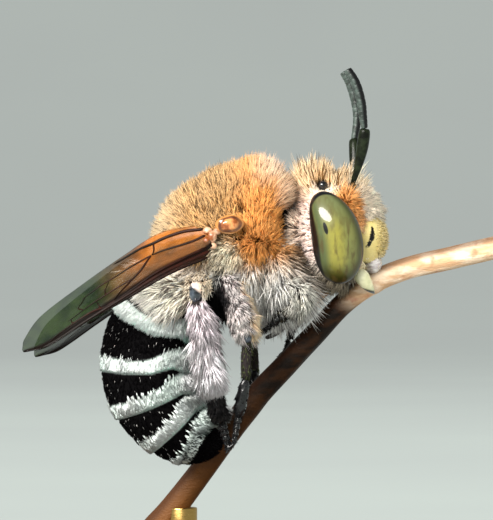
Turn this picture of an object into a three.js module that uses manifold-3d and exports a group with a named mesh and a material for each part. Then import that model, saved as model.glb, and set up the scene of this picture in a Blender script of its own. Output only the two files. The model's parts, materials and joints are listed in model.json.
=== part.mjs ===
// A blue-banded bee asleep on a twig, life size, as a museum shows it: the bee holds the twig in its
// jaws, and a small display stand carries the twig. Every piece is a closed solid in millimetres.
// +X is the way the bee faces, +Z is up, and its right side faces -Y. The origin is the centre of the
// underside of the stand. The furry pieces reach out to the tips of the hairs.

import * as THREE from "three";
import { mergeVertices } from "three/addons/utils/BufferGeometryUtils.js";
import Module from "manifold-3d";

const wasm = await Module();
wasm.setup();

// ---------------------------------------------------------------- driving dimensions

// Places are [forwards, outwards, up]. Those of paired pieces are given for the left side and mirrored.
const HANDS = { right: -1, left: 1 };
const ACROSS = [0, 1, 0]; // across the body
const GAP = 0.04; // clear space kept between two pieces that touch
const THIN = 0.25; // half the thickness of a wing, and the least radius of a leg or a feeler

const STAND = { radius: 7, thick: 1.5, bevel: 0.2, rodRadius: 0.45, rodX: -1.75, rodY: 1.67, rodTop: 3.0 };

const TWIG = {
  route: [[7.88, -0.1, 10.92], [6.3, -0.06, 10.55], [4.95, -0.02, 10.23], [3.98, 0, 9.82], [3.12, 0.16, 9.2],
    [2.19, 0.42, 8.18], [1.42, 0.66, 7.38], [0.55, 0.94, 6.45], [-1.2, 1.5, 4.05], [-2.22, 1.8, 2.73],
    [-2.7, 1.95, 2.15]],
  radius: { tip: 0.38, middle: 0.36, butt: 0.46 },
};

// The head is a skull with a crest of long hair on top and shorter hair over the brow.
const HEAD = {
  skull: { centre: [2.82, 0, 11.4], long: 1.38, wide: 1.72, tall: 1.74, tiltDeg: 12 },
  crest: { centre: [2.34, 0, 12.82], long: 0.87, wide: 0.98, tall: 0.83 },
  brow: { centre: [3.56, 0, 12.1], long: 0.7, wide: 0.85, tall: 0.72 },
};
const EYE = {
  top: [2.4, 1.34, 12.51], bow: [3.0, 1.62, 11.2], bottom: [3.04, 1.2, 9.82],
  bulge: [0.5, 0.62, 0.52], length: [0.55, 0.69, 0.76],
};
const CLYPEUS = { centre: [3.84, 0, 11.15], long: 0.58, wide: 0.95, tall: 0.86, tiltDeg: -8 };
const LABRUM = { centre: [3.96, 0, 10.4], long: 0.28, wide: 0.5, tall: 0.36, tiltDeg: 20 };
const MANDIBLE = { root: [3.58, 0.84, 10.16], elbow: [3.8, 0.84, 9.72], tip: [4.04, 0.36, 9.48] };
const PROBOSCIS = [[2.85, 0, 9.85], [2.34, 0, 9.42], [1.95, 0, 9.03], [1.5, 0, 8.68], [1.1, 0, 8.32],
  [0.76, 0, 8.15]];

// Each feeler is a straight scape from its socket to its elbow, and then a bent whip.
const FEELERS = {
  right: {
    socket: [3.36, -0.5, 12.75],
    elbow: [3.73, -0.75, 14.42],
    whip: [[3.72, -0.75, 14.42], [3.67, -0.77, 14.8], [3.62, -0.8, 15.2], [3.45, -0.8, 15.78],
      [3.2, -0.78, 16.2]],
  },
  left: {
    socket: [3.36, 0.5, 12.75],
    elbow: [3.45, 0.98, 14.15],
    whip: [[3.5, 1.0, 14.2], [3.54, 1.02, 14.76], [3.51, 1.05, 15.18], [3.3, 1.08, 15.9], [3.12, 1.06, 16.2]],
  },
};

// The thorax is a hump with a raised front and collar, and a beard of long hair below the neck.
const THORAX = {
  hump: { centre: [-0.6, 0, 11.04], long: 2.2, wide: 2.12, tall: 2.25 },
  front: { centre: [0.18, 0, 12.06], long: 1.5, wide: 1.9, tall: 1.62 },
  collar: { centre: [1.08, 0, 12.78], long: 0.54, wide: 1.35, tall: 0.78 },
  beard: { centre: [1.41, 0, 9.84], long: 0.98, wide: 1.35, tall: 1.24 },
};
const TEGULA = { centre: [-0.3, 2.06, 11.55], long: 0.42, wide: 0.26, tall: 0.28 };

// The abdomen curls about a line across the body, so its rings are told by their angle round it.
const ABDOMEN = {
  curlX: -0.3, curlZ: 7.5, curlRadius: 2.49, firstDeg: 105, lastDeg: 264,
  deep: 1.455, wide: 1.92,
  ringEndsDeg: [108, 156, 183, 208, 230, 248, 263.5],
  step: 0.025, // how far each ring's rear rim stands out over the next ring, as a share of its size
};

// The wings' edges run from root to tip. The leading edge is the outer, lower one.
const WINGS = {
  forewing: {
    lead: [[-0.86, 2.3, 10.95], [-2.4, 2.62, 10.25], [-3.5, 2.75, 9.56], [-4.6, 2.76, 8.88],
      [-5.7, 2.66, 8.17], [-6.42, 2.52, 7.84]],
    trail: [[-0.95, 1.95, 11.4], [-2.26, 1.5, 11.14], [-3.4, 1.15, 10.44], [-4.6, 1.02, 9.6],
      [-5.75, 1.45, 8.72], [-6.46, 2.35, 7.95]],
  },
  hindwing: {
    lead: [[-1.0, 1.9, 10.75], [-2.1, 1.95, 10.3], [-3.4, 2.0, 9.55], [-4.8, 1.95, 8.75]],
    trail: [[-1.1, 1.55, 10.9], [-2.1, 0.95, 10.6], [-3.4, 0.75, 10.05], [-4.7, 1.4, 8.98]],
  },
};
const LEFT_WING_DROOP_DEG = 2.5; // the left wings hang a little lower than the right ones

// Each leg's hip, knee, ankle and toe. The left feet rest on the twig and the right ones hang.
const LEGS = {
  fore: {
    right: [[1.2, -0.9, 9.75], [2.0, -1.2, 9.4], [1.2, -1.05, 8.8], [0.72, -0.75, 8.4]],
    left: [[1.2, 0.9, 9.75], [2.05, 1.3, 9.4], [1.65, 1.25, 8.6], [1.35, 1.1, 7.75]],
  },
  mid: {
    right: [[-0.5, -1.3, 10.0], [0.22, -1.9, 8.32], [0.16, -1.66, 6.95], [-0.18, -1.4, 5.05]],
    left: [[-0.5, 1.3, 10.0], [0.3, 2.05, 8.6], [0.45, 2.0, 7.1], [0.2, 1.66, 5.85]],
  },
  hind: {
    right: [[-1.05, -0.9, 10.1], [-1.32, -1.9, 9.6], [-0.8, -1.82, 6.6], [-0.34, -1.2, 4.95]],
    left: [[-1.05, 0.9, 10.1], [-1.32, 1.9, 9.6], [-0.9, 2.1, 6.7], [-0.62, 2.2, 5.1]],
  },
};
const LEG_PARTS = ["femur", "tibia", "tarsus"];
const LEG_RADII = { fore: [0.4, 0.3, THIN], mid: [0.56, 0.32, THIN], hind: [0.42, 0.6, 0.4] };
const LEG_TAPER = { femur: [0.95, 1.05, 0.8], tibia: [0.6, 1, 0.95], tarsus: [1, 0.9, 0.65] };

const COLOUR = {
  bark: "#a9764f", stand: "#2a2019", brass: "#c9a460", eye: "#7d8a3c", face: "#d9cf86", lip: "#d8d2cc",
  ivory: "#e2dcae", amber: "#b8742c", head: "#d2a869", thorax: "#c98f4a", white: "#dfe7e2", black: "#0d0c0d",
  leg: "#b9a9a4", wing: "#6b5a3a", bloom: "#57524a",
};

// ---------------------------------------------------------------- making shapes

const vec = (p) => new THREE.Vector3(...p);
const handed = (p, hand) => [p[0], p[1] * hand, p[2]];

/** A smooth value along a length: start at 0, middle at a half and end at 1. */
const smooth = (start, middle, end) => (t) =>
  start * (1 - t) * (1 - 2 * t) + middle * 4 * t * (1 - t) + end * t * (2 * t - 1);

/** A smooth line through points. */
const through = (points) => new THREE.CatmullRomCurve3(points.map(vec), false, "centripetal");

/** A three.js geometry as a manifold solid, with its faces turned outwards. */
function toSolid(geometry) {
  const bare = new THREE.BufferGeometry().setAttribute("position", geometry.getAttribute("position"));
  bare.setIndex(geometry.index);
  const merged = mergeVertices(bare, 1e-4);
  const vertProperties = merged.getAttribute("position").array;
  const corners = new Uint32Array(merged.index.array);
  const build = (triVerts) => new wasm.Manifold(new wasm.Mesh({ numProp: 3, vertProperties, triVerts }));
  const made = build(corners);
  return made.volume() > 0 ? made : build(corners.reverse());
}

/** The largest body of a solid, as a three.js geometry. */
function toGeometry(solid) {
  const largest = solid.decompose().sort((a, b) => b.volume() - a.volume())[0];
  const mesh = largest.getMesh();
  return new THREE.BufferGeometry()
    .setAttribute("position", new THREE.BufferAttribute(new Float32Array(mesh.vertProperties), 3))
    .setIndex(new THREE.BufferAttribute(mesh.triVerts, 1));
}

/** A solid from a geometry whose points are moved to where place says. */
function reshape(geometry, place) {
  const position = geometry.getAttribute("position");
  const v = new THREE.Vector3();
  for (let i = 0; i < position.count; i++) {
    const to = place(v.fromBufferAttribute(position, i));
    position.setXYZ(i, to.x, to.y, to.z);
  }
  return toSolid(geometry);
}

/** A form along a line, as wide and as deep as given. It has round ends, or flat ones where flatEnds
 *  is set. A blunt of 2 gives the ends of an egg, and more gives fuller ones. */
function along({ line, wide, deep = wide, sides = 8, rings = 6, blunt = 2, flatEnds = false }, grow) {
  const start = flatEnds
    ? new THREE.CylinderGeometry(1, 1, 2, sides, rings)
    : new THREE.SphereGeometry(1, sides, rings);
  return reshape(start, (v) => {
    const end = THREE.MathUtils.clamp(v.y, -1, 1);
    const t = (end + 1) / 2;
    const way = line.getTangent(t);
    const across = vec(ACROSS).addScaledVector(way, -way.y).normalize();
    const up = way.clone().cross(across);
    const out = Math.hypot(v.x, v.z);
    const full = flatEnds ? out : (1 - Math.abs(end) ** blunt) ** (1 / blunt);
    const [x, z] = out > 1e-6 ? [v.x / out, v.z / out] : [0, 0];
    return line.getPoint(t)
      .addScaledVector(across, x * full * (wide(t) + grow))
      .addScaledVector(up, z * full * (deep(t) + grow))
      .addScaledVector(way, end * grow);
  });
}

/** An egg-shaped form round a centre. It leans back by tiltDeg. */
function egg({ centre, long, wide, tall, tiltDeg = 0 }, sides, rings, grow) {
  return toSolid(new THREE.SphereGeometry(1, sides, rings)
    .rotateX(Math.PI / 2)
    .scale(long + grow, wide + grow, tall + grow)
    .rotateY(-THREE.MathUtils.degToRad(tiltDeg))
    .translate(...centre));
}

/** The form of several eggs grown into one. */
function eggs(parts, sides, rings, grow) {
  return Object.values(parts)
    .map((part) => egg(part, sides, rings, grow))
    .reduce((whole, part) => whole.add(part));
}

/** A plate between two lines, such as a wing between its leading and its trailing edge. */
function plate(lead, trail, thick, grow) {
  return reshape(new THREE.BoxGeometry(1, 1, 1, 9, 2, 1), (v) => {
    const t = v.x + 0.5;
    const front = lead.getPoint(t);
    const chord = trail.getPoint(t).sub(front);
    const normal = lead.getTangent(t).cross(chord).normalize();
    return front.addScaledVector(chord, v.y + 0.5)
      .addScaledVector(normal, v.z * (thick + 2 * grow))
      .addScaledVector(chord.normalize(), 2 * v.y * grow);
  });
}

// ---------------------------------------------------------------- the forms of the pieces

// Each form is a function of how far it is grown: by 0 for the piece itself, and by GAP for the space
// that other pieces leave for it.

function twigForm(grow) {
  const { tip, middle, butt } = TWIG.radius;
  const wide = smooth(tip, middle, butt);
  return along({ line: through(TWIG.route), wide, sides: 10, rings: 22, flatEnds: true }, grow);
}

function standBaseForm(grow) {
  const { thick, bevel } = STAND;
  const [r, low, high] = [STAND.radius + grow, -grow, thick + grow];
  const profile = [[0, low], [r, low], [r, high - bevel], [r - bevel, high], [0, high]];
  const outline = profile.map((p) => new THREE.Vector2(...p));
  return toSolid(new THREE.LatheGeometry(outline, 36).rotateX(Math.PI / 2));
}

function standRodForm(grow) {
  const { rodX, rodY, rodTop, rodRadius, thick } = STAND;
  const height = rodTop - thick;
  return toSolid(new THREE.CylinderGeometry(rodRadius + grow, rodRadius + grow, height, 16)
    .rotateX(Math.PI / 2)
    .translate(rodX, rodY, thick + height / 2));
}

function bentForm({ root, elbow, tip }, hand, shape) {
  const line = new THREE.QuadraticBezierCurve3(...[root, elbow, tip].map((p) => vec(handed(p, hand))));
  return (grow) => along({ line, ...shape }, grow);
}

const eyeForm = (hand) => bentForm({ root: EYE.top, elbow: EYE.bow, tip: EYE.bottom }, hand,
  { wide: smooth(...EYE.bulge), deep: smooth(...EYE.length), sides: 14, rings: 9, blunt: 2.2 });

const mandibleForm = (hand) => bentForm(MANDIBLE, hand, { wide: smooth(0.27, 0.25, 0.16), blunt: 3 });

const clypeusForm = (grow) => egg(CLYPEUS, 12, 8, grow);

const labrumForm = (grow) => egg(LABRUM, 8, 6, grow);

const headForm = (grow) => eggs(HEAD, 16, 10, grow);

function proboscisForm(grow) {
  const shape = { wide: smooth(0.3, THIN, THIN), deep: () => THIN, rings: 8, blunt: 4 };
  return along({ line: through(PROBOSCIS), ...shape }, grow);
}

function scapeForm({ socket, elbow }) {
  const line = new THREE.LineCurve3(vec(socket), vec(elbow));
  return (grow) => along({ line, wide: smooth(THIN, THIN, 0.27), blunt: 4 }, grow);
}

const flagellumForm = ({ whip }) => (grow) =>
  along({ line: through(whip), wide: () => THIN, rings: 8, blunt: 5 }, grow);

const thoraxForm = (grow) => eggs(THORAX, 16, 10, grow);

const tegulaForm = (hand) => (grow) => egg({ ...TEGULA, centre: handed(TEGULA.centre, hand) }, 10, 7, grow);

/** The middle line of the abdomen between two angles of its curl. */
class Curl extends THREE.Curve {
  constructor(fromDeg, toDeg) {
    super();
    this.fromDeg = fromDeg;
    this.toDeg = toDeg;
  }

  angleDeg(t) {
    return this.fromDeg + (this.toDeg - this.fromDeg) * t;
  }

  getPoint(t) {
    const turn = THREE.MathUtils.degToRad(this.angleDeg(t));
    const { curlX, curlZ, curlRadius } = ABDOMEN;
    return new THREE.Vector3(curlX + curlRadius * Math.cos(turn), 0, curlZ + curlRadius * Math.sin(turn));
  }
}

/** How full the abdomen is at an angle of its curl: 1 at the middle and 0 at its two ends. */
function fullness(deg) {
  const { firstDeg, lastDeg } = ABDOMEN;
  const end = (2 * deg - firstDeg - lastDeg) / (lastDeg - firstDeg);
  return Math.sqrt(Math.max(0, 1 - end * end));
}

function ringForm(fromDeg, toDeg) {
  const line = new Curl(fromDeg, toDeg);
  const size = (most) => (t) => most * fullness(line.angleDeg(t)) * (1 + ABDOMEN.step * (t - 1));
  const [wide, deep] = [size(ABDOMEN.wide), size(ABDOMEN.deep)];
  return (grow) => along({ line, wide, deep, sides: 16, rings: 3, flatEnds: true }, grow);
}

function wingForm({ lead, trail }, hand) {
  const root = vec(lead[0]).setY(0);
  const droop = hand === HANDS.left ? THREE.MathUtils.degToRad(LEFT_WING_DROOP_DEG) : 0;
  const hang = (p) => vec(handed(p, hand)).sub(root).applyAxisAngle(vec(ACROSS), -droop).add(root);
  const [front, back] = [lead, trail].map((edge) => through(edge.map((p) => hang(p).toArray())));
  return (grow) => plate(front, back, 2 * THIN, grow);
}

function legForm(start, end, radius, part) {
  const line = new THREE.LineCurve3(vec(start), vec(end));
  const radii = LEG_TAPER[part].map((share) => Math.max(THIN, share * radius));
  return (grow) => along({ line, wide: smooth(...radii), blunt: 3 }, grow);
}

// ---------------------------------------------------------------- the whole model

const bee = new THREE.Group();
const taken = [];

/** Adds a piece under its name. It is cut clear of every piece that was added before it. */
function add(name, form, color, roughness = 0.8, metalness = 0) {
  const solid = taken.reduce((rest, space) => rest.subtract(space), form(0));
  const material = new THREE.MeshStandardMaterial({ color, roughness, metalness });
  const mesh = new THREE.Mesh(toGeometry(solid), material);
  mesh.name = name;
  bee.add(mesh);
  taken.push(form(GAP));
}

const eachHand = (addOne) => Object.entries(HANDS).forEach(([side, hand]) => addOne(side, hand));

add("perch_twig", twigForm, COLOUR.bark);
add("stand_base", standBaseForm, COLOUR.stand, 0.4);
add("stand_rod", standRodForm, COLOUR.brass, 0.3, 1);

eachHand((side, hand) => add(`eye_${side}`, eyeForm(hand), COLOUR.eye, 0.2));
add("clypeus", clypeusForm, COLOUR.face, 0.4);
add("labrum", labrumForm, COLOUR.lip, 0.5);
eachHand((side, hand) => add(`mandible_${side}`, mandibleForm(hand), COLOUR.ivory, 0.3));
add("head", headForm, COLOUR.head);
eachHand((side, hand) => add(`tegula_${side}`, tegulaForm(hand), COLOUR.amber, 0.3));
add("thorax", thoraxForm, COLOUR.thorax);
add("proboscis", proboscisForm, COLOUR.amber, 0.4);

ABDOMEN.ringEndsDeg.slice(1).forEach((toDeg, i) => {
  const colour = i < 4 ? COLOUR.white : COLOUR.black;
  add(`abdomen_ring_${i + 1}`, ringForm(ABDOMEN.ringEndsDeg[i], toDeg), colour);
});

for (const [leg, joints] of Object.entries(LEGS)) {
  for (const side of Object.keys(HANDS)) {
    LEG_PARTS.forEach((part, i) => {
      const form = legForm(joints[side][i], joints[side][i + 1], LEG_RADII[leg][i], part);
      add(`${leg}_leg_${side}_${part}`, form, COLOUR.leg);
    });
  }
}

for (const [wing, edges] of Object.entries(WINGS)) {
  eachHand((side, hand) => add(`${wing}_${side}`, wingForm(edges, hand), COLOUR.wing, 0.3));
}

for (const [side, feeler] of Object.entries(FEELERS)) {
  add(`scape_${side}`, scapeForm(feeler), COLOUR.black, 0.3);
  add(`flagellum_${side}`, flagellumForm(feeler), COLOUR.bloom);
}

export default bee;
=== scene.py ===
"""A blue-banded bee asleep on a twig, as a life-size museum model on a display stand.

Every shape is worked out in millimetres: +X is the way the bee faces, +Z is up and its right side faces -Y.
A finished piece is scaled to metres once, in its mesh.
"""

import json
import math
from types import SimpleNamespace as Values

import bmesh
import bpy
import numpy as np
from bpy.props import FloatProperty, FloatVectorProperty, IntProperty, PointerProperty
from mathutils import Matrix, Vector
from mathutils.bvhtree import BVHTree

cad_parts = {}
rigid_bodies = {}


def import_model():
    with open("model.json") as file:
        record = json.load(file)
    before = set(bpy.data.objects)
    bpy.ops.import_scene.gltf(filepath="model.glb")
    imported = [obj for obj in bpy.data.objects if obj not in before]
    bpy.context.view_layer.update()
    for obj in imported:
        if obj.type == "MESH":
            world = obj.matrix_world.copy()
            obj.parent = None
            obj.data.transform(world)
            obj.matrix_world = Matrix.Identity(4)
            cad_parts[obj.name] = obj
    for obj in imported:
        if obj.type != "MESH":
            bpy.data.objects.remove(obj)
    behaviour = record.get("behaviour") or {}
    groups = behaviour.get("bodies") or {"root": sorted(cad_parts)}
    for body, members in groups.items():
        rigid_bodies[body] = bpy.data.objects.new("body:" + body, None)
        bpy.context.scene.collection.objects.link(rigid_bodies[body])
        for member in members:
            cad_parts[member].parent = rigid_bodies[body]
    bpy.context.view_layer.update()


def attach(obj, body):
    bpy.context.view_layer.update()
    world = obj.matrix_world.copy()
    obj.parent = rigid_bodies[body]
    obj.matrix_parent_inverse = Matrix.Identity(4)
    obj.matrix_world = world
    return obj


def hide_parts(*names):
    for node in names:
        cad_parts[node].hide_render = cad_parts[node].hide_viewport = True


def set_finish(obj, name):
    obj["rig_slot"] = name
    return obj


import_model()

bl_info = {
    "name": "Blue-banded bee",
    "version": (1, 0, 0),
    "blender": (4, 5, 0),
    "location": "3D View > Sidebar > Bee",
    "description": "A life-size bee asleep on a twig, with its coat, wings and display stand",
    "category": "Add Mesh",
}

# ---------------------------------------------------------------- sizes, in millimetres

MM = 0.001
HANDS = {"right": -1, "left": 1}
ACROSS = np.array([0.0, 1.0, 0.0])

STAND = {"radius": 7.0, "thick": 1.5, "bevel": 0.2, "rod": (-1.75, 1.67), "rod_radius": 0.45, "rod_top": 3.0,
         "rod_bevel": 0.05, "collar_height": 0.22, "collar_share": 1.5}
STAND_RINGS = ((0.0, 0.9), (-0.06, 0.12), (0.06, 0.12))  # depth and width of each ring turned into the base
SHARP_EDGE = 1.0  # the angle in radians from which an edge of the rod is bevelled
SHARP_SHADING = 40  # the angle in degrees from which an edge of the stand is shaded as a sharp one
TWIG_ROUTE = [(7.88, -0.1, 10.92), (6.3, -0.06, 10.55), (4.95, -0.02, 10.23), (3.98, 0, 9.82),
              (3.12, 0.16, 9.2), (2.19, 0.42, 8.18), (1.42, 0.66, 7.38), (0.55, 0.94, 6.45),
              (-1.2, 1.5, 4.05), (-2.22, 1.8, 2.73), (-2.7, 1.95, 2.15)]
TWIG_RADII = (0.38, 0.36, 0.46)

EYE = {"top": (2.25, 1.34, 12.46), "bow": (3.2, 1.62, 11.26), "bottom": (2.84, 1.2, 9.82),
       "bulge": (0.52, 0.62, 0.54), "length": (0.66, 0.75, 0.84)}
OCELLUS = (2.48, 0.6, 12.73)
OCELLUS_RADIUS = 0.15
MIDDLE_OCELLUS = (2.86, 0, 12.74)
MIDDLE_OCELLUS_RADIUS = 0.12
CLYPEUS = {"centre": (3.72, 0, 11.12), "size": (0.64, 1.0, 0.86), "tilt": -6}
LABRUM = {"centre": (3.96, 0, 10.4), "size": (0.28, 0.5, 0.36), "tilt": 20}
MANDIBLE = {"root": (3.52, 0.84, 10.2), "elbow": (3.74, 0.86, 9.8), "tip": (4.02, 0.4, 9.5)}
PROBOSCIS = [(2.85, 0, 9.85), (2.34, 0, 9.42), (1.95, 0, 9.03), (1.5, 0, 8.68), (1.1, 0, 8.32),
             (0.76, 0, 8.15)]
TEGULA = {"centre": (-0.3, 2.06, 11.55), "size": (0.42, 0.26, 0.28)}
FEELERS = {
    "right": {"socket": (3.34, -0.5, 12.7), "elbow": (3.73, -0.75, 14.42),
              "whip": [(3.72, -0.75, 14.42), (3.67, -0.77, 14.8), (3.62, -0.8, 15.2), (3.45, -0.8, 15.78),
                       (3.2, -0.78, 16.2)]},
    "left": {"socket": (3.34, 0.5, 12.7), "elbow": (3.45, 0.98, 14.15),
             "whip": [(3.44, 0.97, 14.08), (3.54, 1.02, 14.76), (3.51, 1.05, 15.18), (3.3, 1.08, 15.9),
                      (3.12, 1.06, 16.2)]},
}

# The abdomen curls about a line across the body. Its tergites are told by their angle round that line.
CURL = {"x": -0.3, "z": 7.5, "radius": 2.49, "first": 105, "last": 264, "wide": 1.84, "deep": 1.375}
BAND_ENDS = (155.5, 184.4, 207.3, 229.0, 247.0)
BAND_LAG = 3.3  # degrees that a band's rear rim moves on for each millimetre from the back to the belly
BAND_WIDTH = 0.52

FOREWING = {
    "lead": [(-0.86, 2.3, 10.95), (-2.4, 2.62, 10.25), (-3.5, 2.75, 9.56), (-4.6, 2.76, 8.88),
             (-5.7, 2.66, 8.17), (-6.42, 2.52, 7.84)],
    "trail": [(-0.95, 1.95, 11.4), (-2.26, 1.5, 11.14), (-3.4, 1.15, 10.44), (-4.6, 1.02, 9.6),
              (-5.75, 1.45, 8.72), (-6.46, 2.35, 7.95)],
}
HINDWING = {
    "lead": [(-1.0, 1.9, 10.75), (-2.1, 1.95, 10.3), (-3.4, 2.0, 9.55), (-4.8, 1.95, 8.75)],
    "trail": [(-1.1, 1.55, 10.9), (-2.1, 0.95, 10.6), (-3.4, 0.75, 10.05), (-4.7, 1.4, 8.98)],
}
# The little plates that a wing turns on, each a place and a size.
WING_JOINTS = (((-0.96, 2.0, 11.36), (0.15, 0.12, 0.12)), ((-0.82, 2.06, 11.2), (0.14, 0.14, 0.17)),
               ((-0.68, 2.04, 11.34), (0.13, 0.12, 0.1)), ((-0.98, 2.02, 11.06), (0.13, 0.12, 0.14)),
               ((-0.8, 2.02, 10.92), (0.12, 0.12, 0.1)))
MEMBRANE_EDGE = np.array([0.108, 0, -0.168])  # how far a membrane reaches past the lead and trail lines
LEFT_WING_DROOP = 2.5
TIP_START = 0.8  # the share of a wing's length where its tip starts to round

# A vein runs through (share of the length, share of the chord) of its wing.
FOREWING_VEINS = {
    "costal": (0.055, [(0.01, 0.05), (0.1, 0.025), (0.25, 0.02), (0.45, 0.02), (0.7, 0.02), (0.88, 0.03)]),
    "anal": (0.05, [(0.005, 0.83), (0.08, 0.88), (0.16, 0.855), (0.24, 0.845), (0.31, 0.9), (0.45, 0.96)]),
    "medial": (0.038, [(0.01, 0.62), (0.07, 0.55), (0.135, 0.545), (0.252, 0.62)]),
    "cubital": (0.03, [(0.252, 0.62), (0.31, 0.66), (0.37, 0.695), (0.45, 0.7)]),
    "basal": (0.034, [(0.252, 0.62), (0.302, 0.47), (0.375, 0.36), (0.435, 0.2), (0.47, 0.08)]),
    "cross": (0.026, [(0.238, 0.845), (0.24, 0.7), (0.25, 0.62)]),
    "subcosta": (0.04, [(0.02, 0.22), (0.12, 0.16), (0.28, 0.12), (0.42, 0.08), (0.5, 0.05)]),
    "stigma": (0.05, [(0.44, 0.06), (0.48, 0.065), (0.53, 0.05)]),
    "marginal": (0.026, [(0.5, 0.08), (0.6, 0.2), (0.72, 0.2), (0.82, 0.06)]),
    "submarginal": (0.022, [(0.36, 0.4), (0.47, 0.42), (0.58, 0.42), (0.7, 0.38)]),
    "recurrent_1": (0.02, [(0.5, 0.42), (0.5, 0.56), (0.48, 0.7)]),
    "recurrent_2": (0.02, [(0.62, 0.42), (0.64, 0.56), (0.6, 0.7)]),
    "submarginal_cell_1": (0.02, [(0.53, 0.12), (0.54, 0.28), (0.55, 0.42)]),
    "submarginal_cell_2": (0.02, [(0.66, 0.2), (0.68, 0.3), (0.68, 0.38)]),
    "discoidal": (0.02, [(0.44, 0.7), (0.52, 0.72), (0.62, 0.7)]),
}
HINDWING_VEINS = {
    "costal": (0.04, [(0.01, 0.06), (0.3, 0.04), (0.7, 0.04), (0.9, 0.1)]),
    "medial": (0.026, [(0.02, 0.4), (0.3, 0.42), (0.6, 0.4), (0.8, 0.45)]),
    "anal": (0.026, [(0.02, 0.7), (0.3, 0.72), (0.5, 0.8)]),
}

WINGS = (("forewing", FOREWING, FOREWING_VEINS), ("hindwing", HINDWING, HINDWING_VEINS))

LEGS = {
    "fore": {"right": [(1.2, -0.9, 9.75), (2.0, -1.2, 9.4), (1.2, -1.05, 8.8), (0.72, -0.75, 8.4)],
             "left": [(1.2, 0.9, 9.75), (2.05, 1.3, 9.4), (1.65, 1.25, 8.6), (1.35, 1.1, 7.75)]},
    "mid": {"right": [(-0.5, -1.3, 10.0), (0.22, -1.9, 8.32), (0.16, -1.66, 6.95), (-0.18, -1.4, 5.05)],
            "left": [(-0.5, 1.3, 10.0), (0.3, 2.05, 8.6), (0.45, 2.0, 7.1), (0.2, 1.66, 5.85)]},
    "hind": {"right": [(-1.05, -0.9, 10.1), (-1.32, -1.9, 9.6), (-0.8, -1.82, 6.6), (-0.34, -1.2, 4.95)],
             "left": [(-1.05, 0.9, 10.1), (-1.32, 1.9, 9.6), (-0.9, 2.1, 6.7), (-0.62, 2.2, 5.1)]},
}
# The bare leg inside its hair: femur, tibia and foot.
LEG_RADII = {"fore": (0.24, 0.19, 0.13), "mid": (0.3, 0.16, 0.18), "hind": (0.28, 0.24, 0.23)}
LEG_TAPER = {"femur": (0.9, 1.05, 0.75), "tibia": (0.7, 1.0, 0.95)}
FURRED = tuple(LEG_TAPER)  # the parts of a leg that the skin covers

# The body under its coat.
SKIN_EGGS = [
    ("head", (2.86, 0, 11.3), (0.98, 1.42, 1.42), 10),
    ("head", (2.58, 0, 12.32), (0.52, 0.78, 0.44), 0),
    ("head", (3.42, 0, 11.8), (0.56, 0.84, 0.76), 0),
    ("head", (3.34, 0, 10.75), (0.6, 0.86, 0.8), 0),
    ("thorax", (-0.62, 0, 10.92), (1.6, 1.6, 1.6), 0),
    ("thorax", (-0.15, 0, 11.55), (1.3, 1.5, 1.32), 20),
    ("thorax", (0.2, 0, 11.86), (0.98, 1.36, 1.12), 0),
    ("thorax", (1.1, 0, 10.16), (0.72, 0.96, 0.8), 0),
]
NECK = [(0.8, 0, 11.2), (2.3, 0, 11.3)]
NECK_RADIUS = 0.55
SKIN_GRAIN = 0.05  # the size of the skin's faces

# ---------------------------------------------------------------- the stage, in millimetres

CAMERA = {"place": (0.195, -150, 10.5), "lens": 346.0, "sensor": 36.0}
# The floor is a wide dish: flat in the middle, with a wall that rises far off on every side.
FLOOR = [(0, 0), (420, 0), (520, 8), (600, 40), (650, 100), (680, 190), (690, 420)]
SKY_COLOUR = (0.9, 0.95, 1.0, 1)
SKY_STRENGTH = 0.22
LIT_PLACE = (0, 0, 9.5)
# Each lamp has a place, a size, a power in watts and a colour.
LAMPS = (
    ("key", (-170, -240, 160), (310, 130), 2.6, (1.0, 0.97, 0.92)),
    ("fill", (260, -200, 60), (200, 200), 0.62, (1.0, 0.98, 0.95)),
    ("low", (-210, -170, 15), (220, 120), 0.4, (1.0, 0.98, 0.95)),
    ("top", (20, 120, 290), (160, 160), 0.9, (1.0, 0.99, 0.97)),
)


# ---------------------------------------------------------------- colours


def paint(code):
    """A colour written as a hex code, in linear light."""
    share = np.array([int(code[i:i + 2], 16) for i in (0, 2, 4)]) / 255
    return np.where(share <= 0.04045, share / 12.92, ((share + 0.055) / 1.055) ** 2.4)


def as_colour(value):
    """A hex code as numbers. Anything else stays as it is."""
    return paint(value) if isinstance(value, str) else value


def colour_property(name, code, description):
    return FloatVectorProperty(name=name, description=description, subtype="COLOR", size=3, min=0, max=1,
                               default=tuple(float(c) for c in paint(code)))


class BeeSizes(bpy.types.PropertyGroup):
    """Sizes that a user would change."""

    hair_width: FloatProperty(name="Hair width", description="Thickness of a hair at its middle",
                              default=0.000034, min=0.00001, max=0.0001, precision=6, unit="LENGTH")
    hair_length: FloatProperty(name="Hair length", description="Length of the coat, as a share of its own",
                               default=1.0, min=0.3, max=1.5, subtype="FACTOR")
    hair_count: FloatProperty(name="Hair count", description="Number of hairs, as a share of their own",
                              default=1.0, min=0.05, max=1.2, subtype="FACTOR")
    membrane: FloatProperty(name="Wing thickness", description="Thickness of the wing membranes",
                            default=0.00003, min=0.00001, max=0.0002, precision=6, unit="LENGTH")
    seed: IntProperty(name="Seed", description="Changes every random draw", default=7, min=0)


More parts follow.
